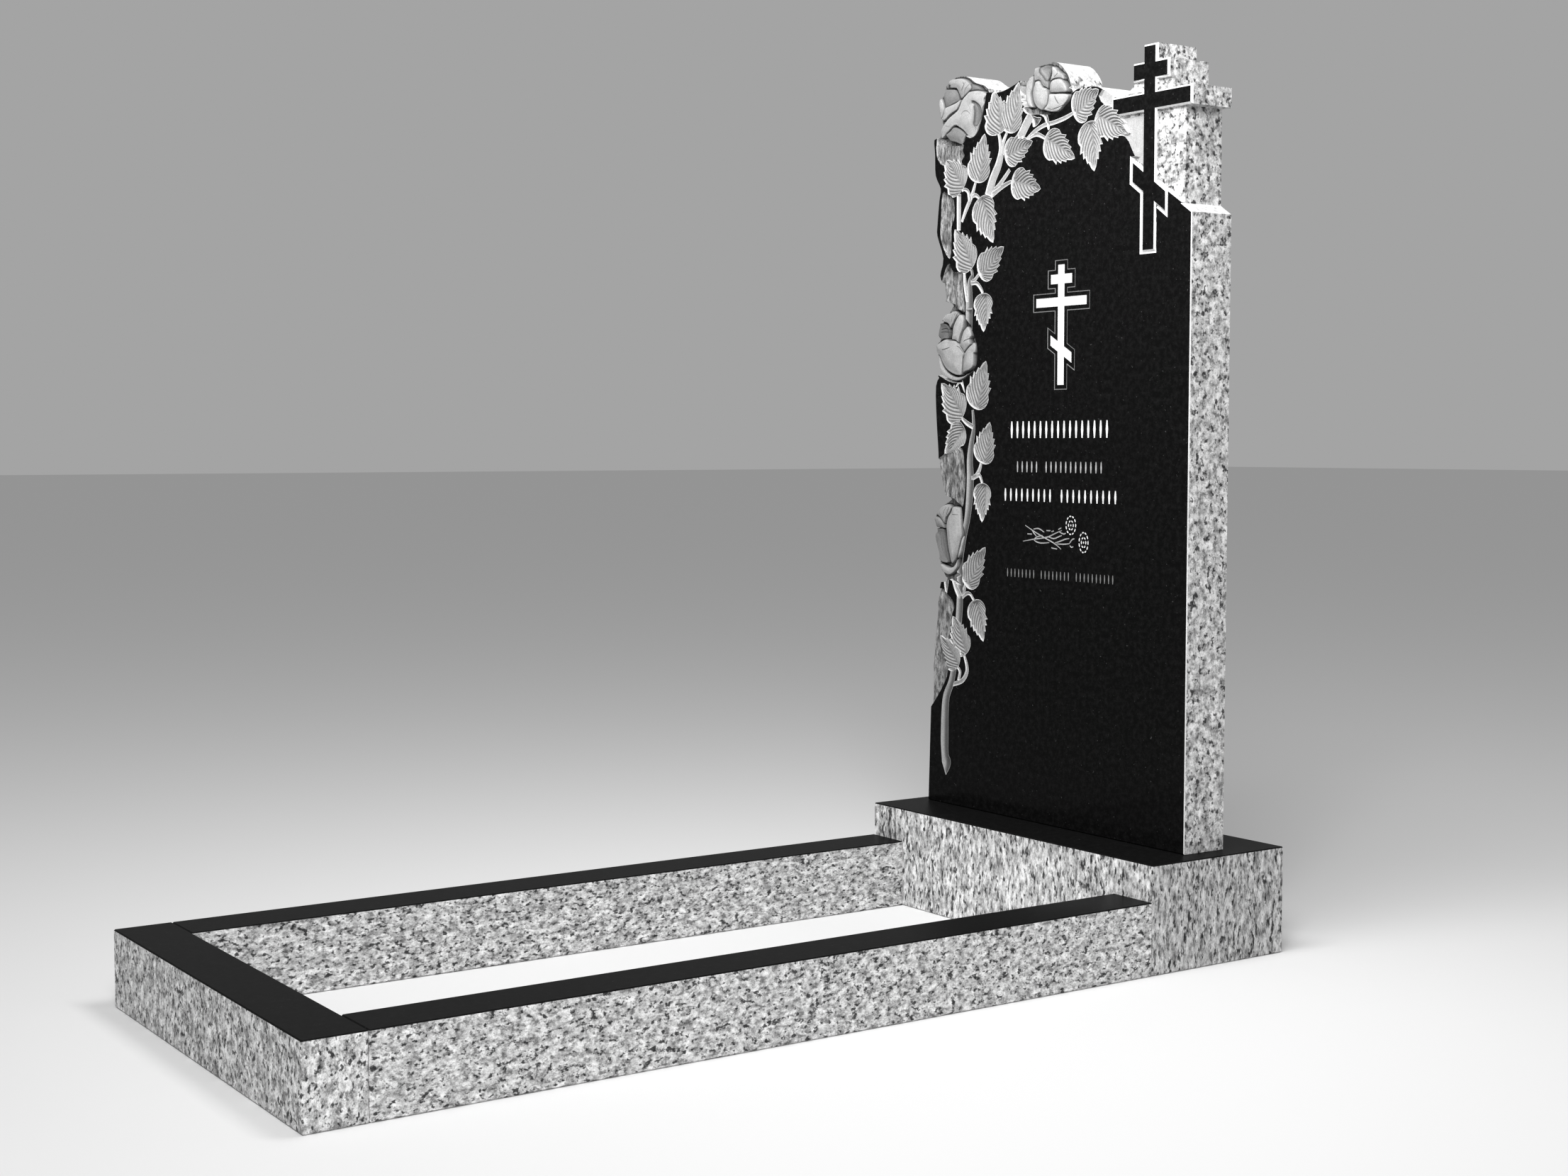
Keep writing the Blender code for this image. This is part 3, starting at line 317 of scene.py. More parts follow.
PETALS = (
    (
        (0.35, 0.5, 0.55, -152, 1009, -145, 1007, -137, 1004, -131, 1000, -125, 994, -122, 991, -131, 992, -145, 996,
         -153, 1000),
        (0.4, 0.7, 0.8, -196, 1016, -190, 1019, -182, 1019, -171, 1018, -162, 1015, -154, 1009, -151, 1003, -156, 999,
         -162, 996, -170, 992, -173, 996, -180, 1006, -191, 1008),
        (0.2, 0.35, 0.5, -208, 1010, -207, 1012, -200, 1009, -191, 1008, -180, 1006, -175, 1000, -172, 993, -172, 991,
         -182, 989, -195, 986, -204, 985, -207, 992, -213, 999, -210, 1002),
        (0.4, 0.7, 0.95, -219, 997, -214, 999, -210, 997, -207, 991, -204, 985, -204, 982, -207, 978, -212, 973,
         -215, 976, -219, 983, -221, 992),
        (0.5, 0.75, 0.95, -204, 985, -195, 987, -182, 989, -172, 992, -171, 989, -175, 984, -179, 980, -185, 978,
         -194, 975, -204, 970, -212, 972, -207, 978),
        (0.6, 0.95, 0.92, -170, 991, -162, 996, -156, 999, -145, 999, -133, 997, -126, 994, -122, 991, -128, 986,
         -126, 981, -130, 976, -132, 967, -134, 959, -138, 953, -141, 947, -148, 942, -155, 944, -160, 947, -167, 953,
         -176, 958, -185, 961, -201, 952, -211, 948, -213, 953, -213, 960, -206, 966, -194, 973, -184, 977, -178, 980,
         -174, 985),
        (0.6, 0.5, 0.38, -146, 986, -140, 985, -133, 980, -130, 974, -130, 967, -133, 961, -138, 956, -143, 958,
         -142, 963, -141, 970, -141, 976, -143, 981),
        (0.5, 0.8, 0.45, -201, 952, -192, 956, -185, 960, -176, 958, -167, 953, -161, 948, -164, 942, -168, 936,
         -180, 940, -191, 943, -195, 946),
    ),
    (
        (0.4, 0.75, 0.9, -52, 994, -46, 1000, -41, 1002, -36, 1002, -36, 996, -38, 987, -41, 981, -39, 972, -36, 965,
         -45, 966, -50, 971, -54, 982, -53, 989),
        (0.5, 0.8, 0.85, -35, 1009, -29, 1011, -21, 1010, -21, 1004, -16, 998, -9, 991, -10, 983, -14, 984, -20, 987,
         -25, 993, -31, 995, -35, 996),
        (0.45, 0.3, 0.5, -21, 1009, -16, 1011, -8, 1011, -1, 1007, -3, 1000, -6, 994, -10, 993, -16, 999, -21, 1004),
        (0.45, 0.6, 0.95, -3, 1008, 2, 1007, 8, 1002, 16, 997, 19, 992, 16, 989, 8, 992, 0, 993, -6, 991, -5, 995,
         -3, 1000),
        (0.55, 0.85, 0.85, -7, 988, -3, 992, 5, 993, 13, 991, 20, 985, 23, 979, 22, 975, 13, 975, 3, 976, -7, 978),
        (0.6, 0.95, 0.85, -34, 994, -29, 995, -25, 993, -21, 987, -14, 984, -11, 979, -10, 972, -12, 963, -19, 959,
         -28, 962, -35, 969, -38, 978, -38, 985, -35, 991),
        (0.6, 0.9, 0.92, -8, 977, 3, 976, 13, 975, 23, 973, 26, 970, 23, 965, 16, 960, 8, 955, -3, 955, -12, 957,
         -18, 960, -12, 965, -10, 972),
    ),
    (
        (0.4, 0.6, 0.8, -190, 733, -184, 735, -178, 735, -172, 732, -169, 729, -175, 727, -181, 722, -187, 716,
         -190, 714, -193, 719, -199, 721, -207, 723, -210, 725, -204, 728, -198, 732),
        (0.45, 0.2, 0.4, -214, 719, -210, 722, -206, 721, -198, 720, -192, 716, -189, 712, -188, 707, -189, 702,
         -192, 700, -200, 701, -210, 698, -215, 702, -220, 706, -218, 711),
        (0.6, 0.9, 0.95, -172, 730, -166, 729, -163, 724, -164, 719, -165, 713, -168, 708, -171, 703, -173, 697,
         -174, 694, -180, 698, -187, 699, -186, 706, -185, 714, -181, 721, -176, 727),
        (0.5, 0.8, 0.9, -156, 715, -152, 713, -149, 708, -148, 703, -151, 700, -152, 698, -150, 694, -150, 692,
         -157, 687, -163, 682, -166, 687, -171, 692, -169, 699, -165, 708, -161, 712),
        (0.5, 0.8, 0.85, -147, 693, -144, 695, -140, 693, -139, 689, -141, 682, -144, 681, -144, 675, -145, 666,
         -152, 661, -161, 659, -167, 656, -167, 666, -165, 675, -163, 681, -157, 687, -151, 691),
        (0.4, 0.6, 1.0, -221, 705, -216, 704, -211, 699, -218, 697, -223, 695, -224, 699),
        (0.35, 0.65, 1.0, -219, 682, -215, 683, -210, 679, -206, 671, -198, 663, -188, 657, -177, 654, -169, 654,
         -161, 655, -154, 658, -157, 654, -166, 650, -177, 648, -189, 650, -200, 654, -209, 658, -215, 666,
         -218, 675),
        (0.6, 1.0, 0.8, -223, 694, -211, 698, -200, 701, -192, 699, -187, 699, -180, 698, -174, 694, -170, 689,
         -164, 682, -166, 675, -167, 666, -168, 656, -177, 655, -188, 658, -198, 663, -206, 671, -211, 678, -216, 682,
         -221, 686, -222, 691),
    ),
    (
        (0.4, 0.65, 0.8, -222, 479, -217, 485, -209, 491, -199, 495, -192, 496, -186, 494, -185, 490, -190, 484,
         -197, 477, -199, 470, -203, 473, -211, 478, -216, 481),
        (0.4, 0.7, 0.6, -224, 478, -220, 480, -211, 479, -203, 474, -199, 469, -198, 465, -206, 465, -218, 466,
         -221, 470, -224, 474),
        (0.5, 0.2, 0.5, -221, 465, -210, 465, -199, 465, -198, 459, -195, 448, -191, 436, -188, 423, -199, 422,
         -208, 425, -217, 433, -222, 443, -222, 451, -220, 460),
        (0.35, 0.55, 1.0, -224, 455, -222, 448, -219, 438, -215, 430, -205, 422, -200, 420, -204, 418, -213, 425,
         -220, 435, -224, 445),
        (0.6, 1.0, 0.85, -184, 493, -175, 493, -168, 491, -167, 478, -166, 466, -165, 458, -168, 450, -172, 440,
         -174, 430, -181, 424, -186, 422, -190, 432, -194, 446, -196, 459, -197, 469, -194, 479, -188, 486),
        (0.6, 0.8, 0.95, -160, 458, -159, 454, -163, 444, -166, 435, -171, 429, -173, 430, -170, 439, -167, 447,
         -165, 453),
        (0.45, 0.75, 0.9, -205, 421, -198, 419, -188, 417, -179, 420, -173, 429, -171, 432, -173, 424, -174, 417,
         -182, 410, -191, 407, -199, 409, -205, 412, -208, 419),
    ),
)
CREASES = (
    (
        (2.2, -170, 1012, -167, 1008, -171, 1003, -171, 999),
        (1.2, -164, 1012, -169, 1005, -171, 996),
        (2.4, -205, 1013, -200, 1013, -193, 1011),
        (0.9, -158, 1008, -165, 1002, -168, 995),
        (2.2, -171, 992, -175, 986, -179, 980, -186, 977, -194, 974, -204, 970, -212, 965, -215, 960),
        (0.9, -184, 976, -182, 972),
        (0.9, -192, 975, -192, 972),
        (0.9, -170, 972, -164, 976, -156, 975, -150, 970),
        (1.0, -212, 962, -213, 956, -213, 951),
        (1.0, -146, 957, -142, 953, -143, 951),
    ),
    (
        (2.6, 1, 973, 5, 968, 10, 962),
        (1.0, -12, 961, -3, 958, 8, 959, 16, 961),
        (1.4, -10, 993, -8, 989, -9, 983),
        (1.4, -10, 979, -9, 972, -11, 963),
        (1.8, -14, 1003, -10, 998, -7, 994),
        (1.2, -8, 1009, -6, 1003, -5, 997),
        (1.0, 1, 1004, 4, 999, -3, 995),
        (1.0, 8, 999, 11, 995),
        (0.9, 13, 996, 15, 993),
        (1.0, -3, 971, -4, 966, -3, 960),
    ),
    (
        (1.6, -178, 732, -181, 728, -187, 721),
        (1.0, -182, 732, -185, 729),
        (1.4, -172, 730, -179, 725, -185, 720, -188, 715),
        (1.6, -204, 726, -202, 722),
        (1.0, -195, 728, -193, 723),
        (1.2, -188, 730, -189, 725, -191, 720),
        (1.6, -188, 713, -187, 706, -188, 700),
        (1.2, -164, 696, -159, 698, -152, 700),
        (1.6, -205, 687, -198, 688, -189, 690),
        (1.4, -177, 691, -172, 689, -165, 682),
        (1.4, -165, 681, -166, 674, -168, 657),
        (1.2, -217, 713, -205, 714, -193, 712),
        (1.0, -218, 710, -205, 710, -191, 708),
        (1.2, -171, 693, -173, 697, -170, 702, -165, 709),
    ),
    (
        (1.2, -192, 493, -197, 485, -201, 477),
        (1.4, -198, 492, -204, 484, -205, 477),
        (1.0, -188, 492, -194, 483, -199, 474),
        (1.6, -214, 485, -212, 482),
        (1.0, -209, 486, -208, 481),
        (1.6, -198, 465, -196, 456, -192, 443, -188, 424),
        (1.4, -166, 453, -169, 443, -173, 433),
        (1.0, -184, 483, -177, 483, -171, 483),
        (2.6, -215, 460, -214, 448, -211, 435),
        (1.4, -194, 481, -197, 474, -197, 467),
    ),
)

BRACTS = (
    ((-209, 949), (-202, 951), (-194, 944), (-191, 943), (-180, 940), (-168, 936), (-165, 934),
     (-167, 928), (-164, 922), (-170, 915), (-167, 910), (-202, 913), (-216, 923), (-219, 934),
     (-218, 941)),
    ((-217, 950), (-207, 952), (-201, 947), (-201, 937), (-205, 926), (-209, 916), (-214, 922), (-218, 935)),
    ((-45, 958), (-38, 955), (-30, 952), (-22, 950), (-27, 944), (-36, 941), (-38, 948)),
    ((-26, 955), (-17, 950), (-10, 935), (-7, 938), (-11, 952), (-20, 958)),
    ((-55, 965), (-48, 967), (-40, 963), (-44, 958), (-50, 959)),
    ((-178, 642), (-171, 649), (-166, 650), (-162, 641), (-161, 633), (-169, 645), (-176, 641)),
    ((-189, 404), (-178, 413), (-167, 408), (-175, 404), (-166, 395), (-180, 399)),
    ((-199, 404), (-190, 405), (-192, 392), (-195, 381), (-199, 394)),
)

SEPAL_CREASES = (
    (((-194, 941), (-198, 936), (-201, 930), (-203, 924), (-207, 916)), 2.2),
    (((-185, 935), (-189, 929), (-197, 921)), 1.2),
    (((-180, 924), (-182, 916), (-181, 912)), 1.8),
    (((-175, 932), (-179, 924)), 1.0),
    (((-171, 924), (-173, 916)), 1.0),
    (((-217, 932), (-216, 920)), 2.0),
)

# Engraved strokes of the inscription: a row's middle height, its left and right end, height and width of its
# strokes, their finish, and the numbers of strokes in its groups
INSCRIPTION = (
    (587.5, -71, 95, 20, 4.0, "white", (17,)),
    (543.5, -60, 86, 13, 2.6, "light", (5, 12)),
    (510.0, -82, 110, 15, 3.4, "white", (9, 10)),
    (416.5, -77, 107, 10, 2.0, "grey", (8, 8, 10)),
)
CARNATION_STEMS = (
    ((-45, 474), (-33, 469), (-23, 465), (-9, 460), (3, 456), (12, 452), (19, 448)),
    ((-49, 455), (-30, 458), (-14, 460), (-3, 462), (8, 466), (20, 470)),
    ((-33, 469), (-29, 465), (-25, 462)),
    ((-30, 470), (-21, 471), (-11, 467)),
    ((-29, 457), (-24, 455), (-16, 454), (-2, 455)),
    ((-29, 458), (-24, 461), (-14, 463)),
    ((-4, 462), (6, 460), (16, 463), (20, 464)),
    ((16, 468), (23, 466), (27, 467)),
    ((8, 455), (16, 457), (26, 460), (33, 461)),
    ((11, 454), (23, 454), (33, 455)),
    ((2, 449), (12, 448)),
    ((-41, 464), (-33, 464)),
    ((-7, 469), (0, 469)),
    ((2, 468), (6, 469)),
    ((14, 471), (19, 473)),
    ((33, 455), (38, 460), (42, 461)),
    ((34, 453), (37, 451), (40, 452)),
)
# Heads: middle, half width and half height; rings: number of strokes and size as a share of the head; a stroke
# spans this share of its step to each side and has these widths along it
CARNATION_HEADS = ((35.6, 476.4, 8.3, 10.5), (57.6, 457.2, 7.6, 11.5))
CARNATION_RINGS = ((11, 1.0), (6, 0.5))
CARNATION_SPAN = 0.34
CARNATION_WIDTHS = (0.9, 1.8, 0.9)
CARNATION_STEM = 1.6
CARNATION_EYE = (1.2, 1.8)

# The cut finish is pale unpolished stone on bevels and chamfers, and on leaf, stem and bract rims also a painted
# highlight of lit walls
POLISHED, CARVED, CUT_AND_HIGHLIGHT, GRANITE, WHITE, LIGHT, GREY, ROUGH = range(8)
PAINTS = {"white": WHITE, "light": LIGHT, "grey": GREY}


def points_of(numbers):
    """Points from numbers that are x and z in turn."""
    return tuple(zip(numbers[::2], numbers[1::2]))


def smooth(points, steps, closed):
    """Points of a Catmull-Rom curve through the given ones; each may hold more than two values."""
    points = np.array(points, float)
    count = len(points)
    out = []
    for i in range(count if closed else count - 1):
        if closed:
            a, b, c, d = (points[(i + k) % count] for k in (-1, 0, 1, 2))
        else:
            a, b, c, d = (points[min(max(i + k, 0), count - 1)] for k in (-1, 0, 1, 2))
        for t in np.arange(steps) / steps:
            out.append(0.5 * (2 * b + (c - a) * t + (2 * a - 5 * b + 4 * c - d) * t * t
                              + (3 * b - a - 3 * c + d) * t ** 3))
    if not closed:
        out.append(points[-1])
    return np.array(out)


def ribbon(stem, steps=STEM_STEPS):
    """Outline of a stem from its centre line and widths."""
    line = smooth(stem, steps, False)
    run = np.gradient(line[:, :2], axis=0)
    side = np.stack([-run[:, 1], run[:, 0]], 1) / np.hypot(run[:, 0], run[:, 1])[:, None]
    half = line[:, 2:3] / 2
    return np.concatenate([line[:, :2] + side * half, (line[:, :2] - side * half)[::-1]])


def tapered(points, width):
    """Centre line with a width at each point that narrows to both ends."""
    count = len(points)
    shares = [TAPER + (1 - TAPER) * math.sin(math.pi * (i + 0.5) / count) for i in range(count)]
    return [(x, z, width * share) for (x, z), share in zip(points, shares)]


def leaf_half_width(share):
    """Half the width of a leaf, as a share of its largest, at a share of the way from base to tip."""
    widest = LEAF_RISE / (LEAF_RISE + LEAF_FALL)
    share = np.clip(share, 0, 1)
    return (share / widest) ** LEAF_RISE * ((1 - share) / (1 - widest)) ** LEAF_FALL


def strip_line(edge_share, aside):
    """Share along a leaf, at a share aside, of the side vein that meets the edge at a share along it."""
    weight = np.clip(aside, 0, 1) ** STRIP_BEND
    return ROOT_SHARE * (edge_share - SWEEP) * (1 - weight) + edge_share * weight


def strip_number(share, aside):
    """Number, with its fraction, of the strip between side veins at a share along a leaf and a share aside."""
    weight = np.clip(aside, 0, 1) ** STRIP_BEND
    edge = (share + ROOT_SHARE * SWEEP * (1 - weight)) / (ROOT_SHARE * (1 - weight) + weight)
    return (edge - FIRST_STRIP) / (LAST_STRIP - FIRST_STRIP) * STRIPS


def strip_edge(number):
    """Share along a leaf where a strip's vein meets the edge."""
    return FIRST_STRIP + (LAST_STRIP - FIRST_STRIP) * number / STRIPS


class Leaf:
    """A leaf folded along its midrib, with strips between its side veins that end in teeth."""

    def __init__(self, base, tip, width):
        self.base = np.array(base, float)
        span = np.array(tip, float) - self.base
        self.length = np.hypot(*span)
        self.along = span / self.length
        self.across = np.array([-self.along[1], self.along[0]])
        self.half = width / 2

    def place(self, share, aside):
        """Point at a share along the leaf and a number of half widths aside."""
        return self.base + self.along * self.length * share + self.across * self.half * aside

    def outline(self):
        """Smooth round base, then teeth that point to the tip."""
        profile = [(s, leaf_half_width(s)) for s in BASE_PROFILE]
        step = strip_edge(1) - strip_edge(0)
        for k in range(STRIPS):
            start = strip_edge(k)
            if start < SMOOTH_BASE:
                continue
            profile.append((start, leaf_half_width(start) * (1 - TOOTH_CUT)))
            profile.append((start + TOOTH_LEAN * step, leaf_half_width(start + step) * (1 + TOOTH_REACH)))
        left = [self.place(s, w) for s, w in profile]
        right = [self.place(s, -w) for s, w in profile]
        return np.array([self.place(0, 0)] + left + [self.place(1.0, 0)] + right[::-1])

    def lines(self):
        """Midrib, the side veins and the ridges between them."""
        lines = [np.array([self.place(s, 0) for s in np.linspace(*MIDRIB)])]
        for k in range(STRIPS + TIP_STRIPS):
            for part in (0, RIDGE):
                for side in (-1, 1):
                    line = []
                    for aside in np.linspace(*VEIN):
                        share = strip_line(strip_edge(k + part), aside)
                        if VEIN_ENDS[0] < share < VEIN_ENDS[1]:
                            line.append(self.place(share, side * aside * leaf_half_width(share)))
                    if len(line) > 1:
                        lines.append(np.array(line))
        return lines

    def shape(self, points):
        """Share aside, and rise of the strips from vein to ridge."""
        offset = points - self.base
        share = offset @ self.along / self.length
        aside = np.abs(offset @ self.across) / (self.half * np.maximum(leaf_half_width(share), LEAST_HALF_WIDTH))
        aside = np.clip(aside, 0, 1)
        number = strip_number(share, aside)
        part = number - np.floor(number)
        rise = np.where(part < RIDGE, part / RIDGE, (1 - part) / (1 - RIDGE))
        rise = np.where(number < 0, np.clip(-number / (1 - RIDGE), 0, 1), rise)
        rise = 1 - (1 - rise) * np.clip((VEIN_END - share) / VEIN_FADE, 0, 1)
        return aside, 1 - (1 - rise) ** VEIN_POWER

    def floor(self, points, inwards):
        """Valley along the midrib, steepest beside it, with the strips on both sides."""
        aside, rise = self.shape(points)
        fold = LEAF_RIM + (LEAF_DEPTH - LEAF_RIM) * (1 - aside) ** FOLD_POWER
        fade = np.clip(aside / MIDRIB_FADE, 0, 1)
        return -fold - VEIN_DEPTH * (1 - rise) * fade

    def tone(self, points, inwards):
        """Painted shade in the veins and along the midrib."""
        aside, rise = self.shape(points)
        veins = VEIN_SHADE * (1 - rise) * np.clip(aside / MIDRIB_FADE, 0, 1)
        return LEAF_TONE - veins - MIDRIB_SHADE * np.exp(-(aside / MIDRIB_SHADE_HALF) ** 2)


def depth_inside(points, outline):
    """Distance of each point to the outline, positive inside it."""
    start = outline
    run = np.roll(outline, -1, axis=0) - start
    length = np.maximum((run * run).sum(1), 1e-12)
    height = np.where(run[:, 1] == 0, 1, run[:, 1])
    out = np.empty(len(points))
    chunk = max(1, 400000 // len(outline))
    for first in range(0, len(points), chunk):
        part = points[first:first + chunk]
        offset = part[:, None, :] - start[None]
        share = np.clip((offset * run).sum(2) / length, 0, 1)
        gap = offset - share[..., None] * run
        gap = np.sqrt((gap * gap).sum(2).min(1))
        x, z = part[:, 0:1], part[:, 1:2]
        rising = (start[:, 1] > z) != (np.roll(start[:, 1], -1) > z)
        crossing = x < start[:, 0] + (z - start[:, 1]) * run[:, 0] / height
        inside = (rising & crossing).sum(1) % 2 == 1
        out[first:first + chunk] = np.where(inside, gap, -gap)
    return out


def area(outline):
    """Signed area of an outline, positive when it runs anticlockwise."""
    following = np.roll(outline, -1, axis=0)
    return 0.5 * (outline[:, 0] * following[:, 1] - following[:, 0] * outline[:, 1]).sum()


def moved_in(outline, distance):
    """The outline moved inwards by a distance, or outwards by a negative one, with sharp corners."""
    turn = 1 if area(outline) > 0 else -1
    before = outline - np.roll(outline, 1, axis=0)
    after = np.roll(outline, -1, axis=0) - outline
    normals = []
    for run in (before, after):
        normal = np.stack([-run[:, 1], run[:, 0]], 1) * turn
        normals.append(normal / np.maximum(np.hypot(run[:, 0], run[:, 1]), 1e-9)[:, None])
    middle = normals[0] + normals[1]
    middle /= np.maximum(np.hypot(middle[:, 0], middle[:, 1]), 0.2)[:, None]
    stretch = np.maximum((middle * normals[0]).sum(1), 0.5)
    return outline + middle * (distance / stretch)[:, None]


def cross_outline(cross, slope):
    """Outline of an eight-pointed cross, anticlockwise from its foot's left corner."""
    left, right = cross["stem"]
    top = cross["top"]
    foot = cross["foot"]
    short_left, short_right, short_low, short_high = cross["short bar"]
    long_left, long_right, long_low, long_high = cross["long bar"]
    bar_left, bar_right, bar_low, bar_high = cross["foot bar"]

    def along(height, x):
        return height - slope * (x - bar_left)

    return np.array([
        (left, foot), (right, foot), (right, along(bar_low, right)), (bar_right, along(bar_low, bar_right)),
        (bar_right, along(bar_high, bar_right)), (right, along(bar_high, right)), (right, long_low),
        (long_right, long_low), (long_right, long_high), (right, long_high), (right, short_low),
        (short_right, short_low), (short_right, short_high), (right, short_high), (right, top), (left, top),
        (left, short_high), (short_left, short_high), (short_left, short_low), (left, short_low),
        (left, long_high), (long_left, long_high), (long_left, long_low), (left, long_low),
        (left, along(bar_high, left)), (bar_left, bar_high), (bar_left, bar_low), (left, along(bar_low, left)),
    ], float)


def slab_outline():
    """Outline of the slab: the carved left and top edge, the cross and the block behind it, the shoulder."""
    cross = moved_in(cross_outline(CROSS, CROSS_SLOPE), -GROOVE_HALF)
    low_bar = CROSS["long bar"][2] - GROOVE_HALF
    high_bar = CROSS["long bar"][3] + GROOVE_HALF
    bar_right = CROSS["long bar"][1] + GROOVE_HALF
    short = CROSS["short bar"]
    shoulder_rise = (SHOULDER[0] - BLOCK_RIGHT) * SHOULDER_SLOPE
    upper = cross[13:18]
    right = [
        (short[1] + GROOVE_HALF, high_bar), (bar_right, high_bar), (bar_right, low_bar),
        (BLOCK_RIGHT, low_bar), (BLOCK_RIGHT, SHOULDER[1] + shoulder_rise), SHOULDER,
        (SHOULDER[0], SHEET_FOOT),
    ]
    left = [tuple(p) for p in smooth(LEFT_EDGE, CURVE_STEPS, False)]
    left += [(CROSS["long bar"][0] - GROOVE_HALF, BLOCK_TOP), (BLOCK_TOP_LEFT, BLOCK_TOP)]
    top = [cross[18], *upper[::-1], cross[12]]
    return np.array(left + [tuple(p) for p in top] + right, float)


def rose_outline(numbers):
    """Outline of the slab at a rose, set left by what its deep edge seems to stand to the right."""
    return smooth(np.array(points_of(numbers), float) - np.array([ROSE_SET_LEFT, 0]), CURVE_STEPS, True)


def near(points, outline, margin=0.0):
    """Numbers of the points that lie in an outline's box, widened by a margin."""
    low = outline.min(0) - margin
    high = outline.max(0) + margin
    return np.nonzero(((points >= low) & (points <= high)).all(1))[0]


class Layer:
    """One carved shape: an outline on the sheet, its floor by place and depth in, its finish and tone.

    A fill carves down or up to its floor. A cut carves down only. A crease sinks by its floor's value into what
    lies there and darkens it with painted shade. The lip is a band inside the outline that keeps the height below it.
    The crevice is a dip around the outline darkened with painted shade, with a painted soft shadow beyond it on
    what is carved.
    """

    def __init__(self, outline, floor, finish=CARVED, kind="fill", wall=WALL, lip=0.0, spacing=FINE, lines=(),
                 rim=None, tone=1.0, crevice=0.0):
        self.outline = np.array(outline, float)
        self.floor = floor
        self.finish = finish
        self.kind = kind
        self.wall = wall
        self.lip = lip
        self.spacing = spacing
        self.lines = lines
        self.rim = rim
        self.tone = tone
        self.crevice = crevice

    def loops(self):
        """Closed lines that the mesh follows."""
        loops = [self.outline]
        if self.lip:
            loops.append(moved_in(self.outline, self.lip))
        if self.kind != "crease":
            loops.append(moved_in(self.outline, self.lip + self.wall))
        if self.crevice:
            loops.append(moved_in(self.outline, -self.crevice))
        return loops

    def carve(self, points, heights, tones):
        """Carves this shape into what lies below it, in place."""
        inside = near(points, self.outline, 3 * SHADOW_REACH if self.crevice else 0.0)
        if not len(inside):
            return
        inwards = depth_inside(points[inside], self.outline)
        floor = self.floor(points[inside], inwards)
        tone = self.tone(points[inside], inwards) if callable(self.tone) else self.tone
        below = heights[inside]
        below_tone = tones[inside]
        if self.kind == "cut":
            heights[inside] = np.where(inwards > 0, np.minimum(below, floor), below)
            return
        weight = np.clip((inwards - self.lip) / self.wall, 0, 1)
        # A crease darkens what lies there with painted shade
        if self.kind == "crease":
            weight *= below < -CREASE_GROUND
            heights[inside] = below - floor * weight
            tones[inside] = below_tone * (1 - (1 - tone) * weight)
            return
        # A crevice's dip gets painted shade, and a painted soft shadow falls beyond it on what is carved
        if self.crevice:
            carved_below = below < -CREVICE_GROUND
            dip = np.clip(1 + inwards / self.crevice, 0, 1) * carved_below
            shadow = np.exp(np.minimum(inwards, 0) / SHADOW_REACH) * carved_below
            below = below - CREVICE_DEPTH * dip
            below_tone = below_tone * (1 - CREVICE_SHADE * dip) * (1 - SHADOW_DARK * shadow)
        heights[inside] = below + (floor - below) * weight
        tones[inside] = below_tone + (tone - below_tone) * weight

    def paint(self, middles, finishes):
        """Sets the finish of the triangles whose middles lie in this shape, in place."""
        if self.kind == "crease":
            return
        inside = near(middles, self.outline)
        if not len(inside):
            return
        inwards = depth_inside(middles[inside], self.outline)
        covered = inwards > 0
        finishes[inside[covered]] = self.finish
        # A rim band, lip included, is painted pale cut stone, brighter than the carved floor as a painted highlight
        if self.rim:
            width, finish = self.rim
            finishes[inside[covered & (inwards < width)]] = finish


def flat_floor(depth):
    """A level floor."""
    return lambda points, inwards: np.full(len(points), -depth)


def rough(points, grain, stretch=1.0, seed=0.0):
    """Smooth noise between about -1 and 1 at a grain in millimetres, drawn out along z by a stretch."""
    return np.array([
        noise.noise(Vector((x / grain, z / grain / stretch, seed))) for x, z in points
    ])


def bark_floor(points, inwards):
    """Rough ground with chisel marks that run up the edge."""
    broad, marks, grit = (
        weight * rough(points, *field) for weight, field in zip(BARK_WEIGHTS, (BARK_BROAD, BARK_MARKS, BARK_GRIT))
    )
    return -BARK_DEPTH + BARK_ROUGHNESS * (broad + marks + grit)


def bark_tone(points, inwards):
    """Light and dark streaks that run up the edge."""
    streaks = rough(points, *BARK_MARKS) * MARKS_TONE + rough(points, *BARK_PATCHES) * PATCHES_TONE
    return np.clip(BARK_TONE + streaks, 0.2, 1.0)


def ground_strokes(points, inwards):
    """Level ground with fine upright tool marks."""
    return -RECESS_DEPTH + TOOL_MARKS * rough(points, *TOOL_GRAIN)


def stem_tone(line, width):
    """Thick upright stems low on the slab get painted shade on their right flank."""
    low, high = line[:, 1].min(), line[:, 1].max()
    if width < FLANK_STEM or high > FLANK_TOP or high - low < FLANK_UPRIGHT * (line[:, 0].max() - line[:, 0].min()):
        return STEM_TONE
    order = np.argsort(line[:, 1])

    def tone(points, inwards):
        right = points[:, 0] - np.interp(points[:, 1], line[order, 1], line[order, 0])
        return FLANK_TONE - FLANK_SHADE * np.clip((right + FLANK_START) / FLANK_WIDTH, 0, 1)

    return tone


def stem_floor(width):
    """A round gouge, deepest along its middle."""
    def floor(points, inwards):
        share = np.clip(1 - inwards / (width * 0.5), 0, 1)
        return -STEM_DEPTH * (1 - share ** 2) * min(1.0, width / STEM_FULL)
    return floor


def set_left(outline, depth):
    """The outline moved left by what a floor at that depth seems to move right, seen from the right."""
    return np.array(outline, float) - np.array([SIGHT_SHIFT * depth * 1000, 0])


def petal_depth(edge, middle):
    """Mean depth of a petal."""
    return ROSE_DEPTH * (1 - (edge + middle) / 2)


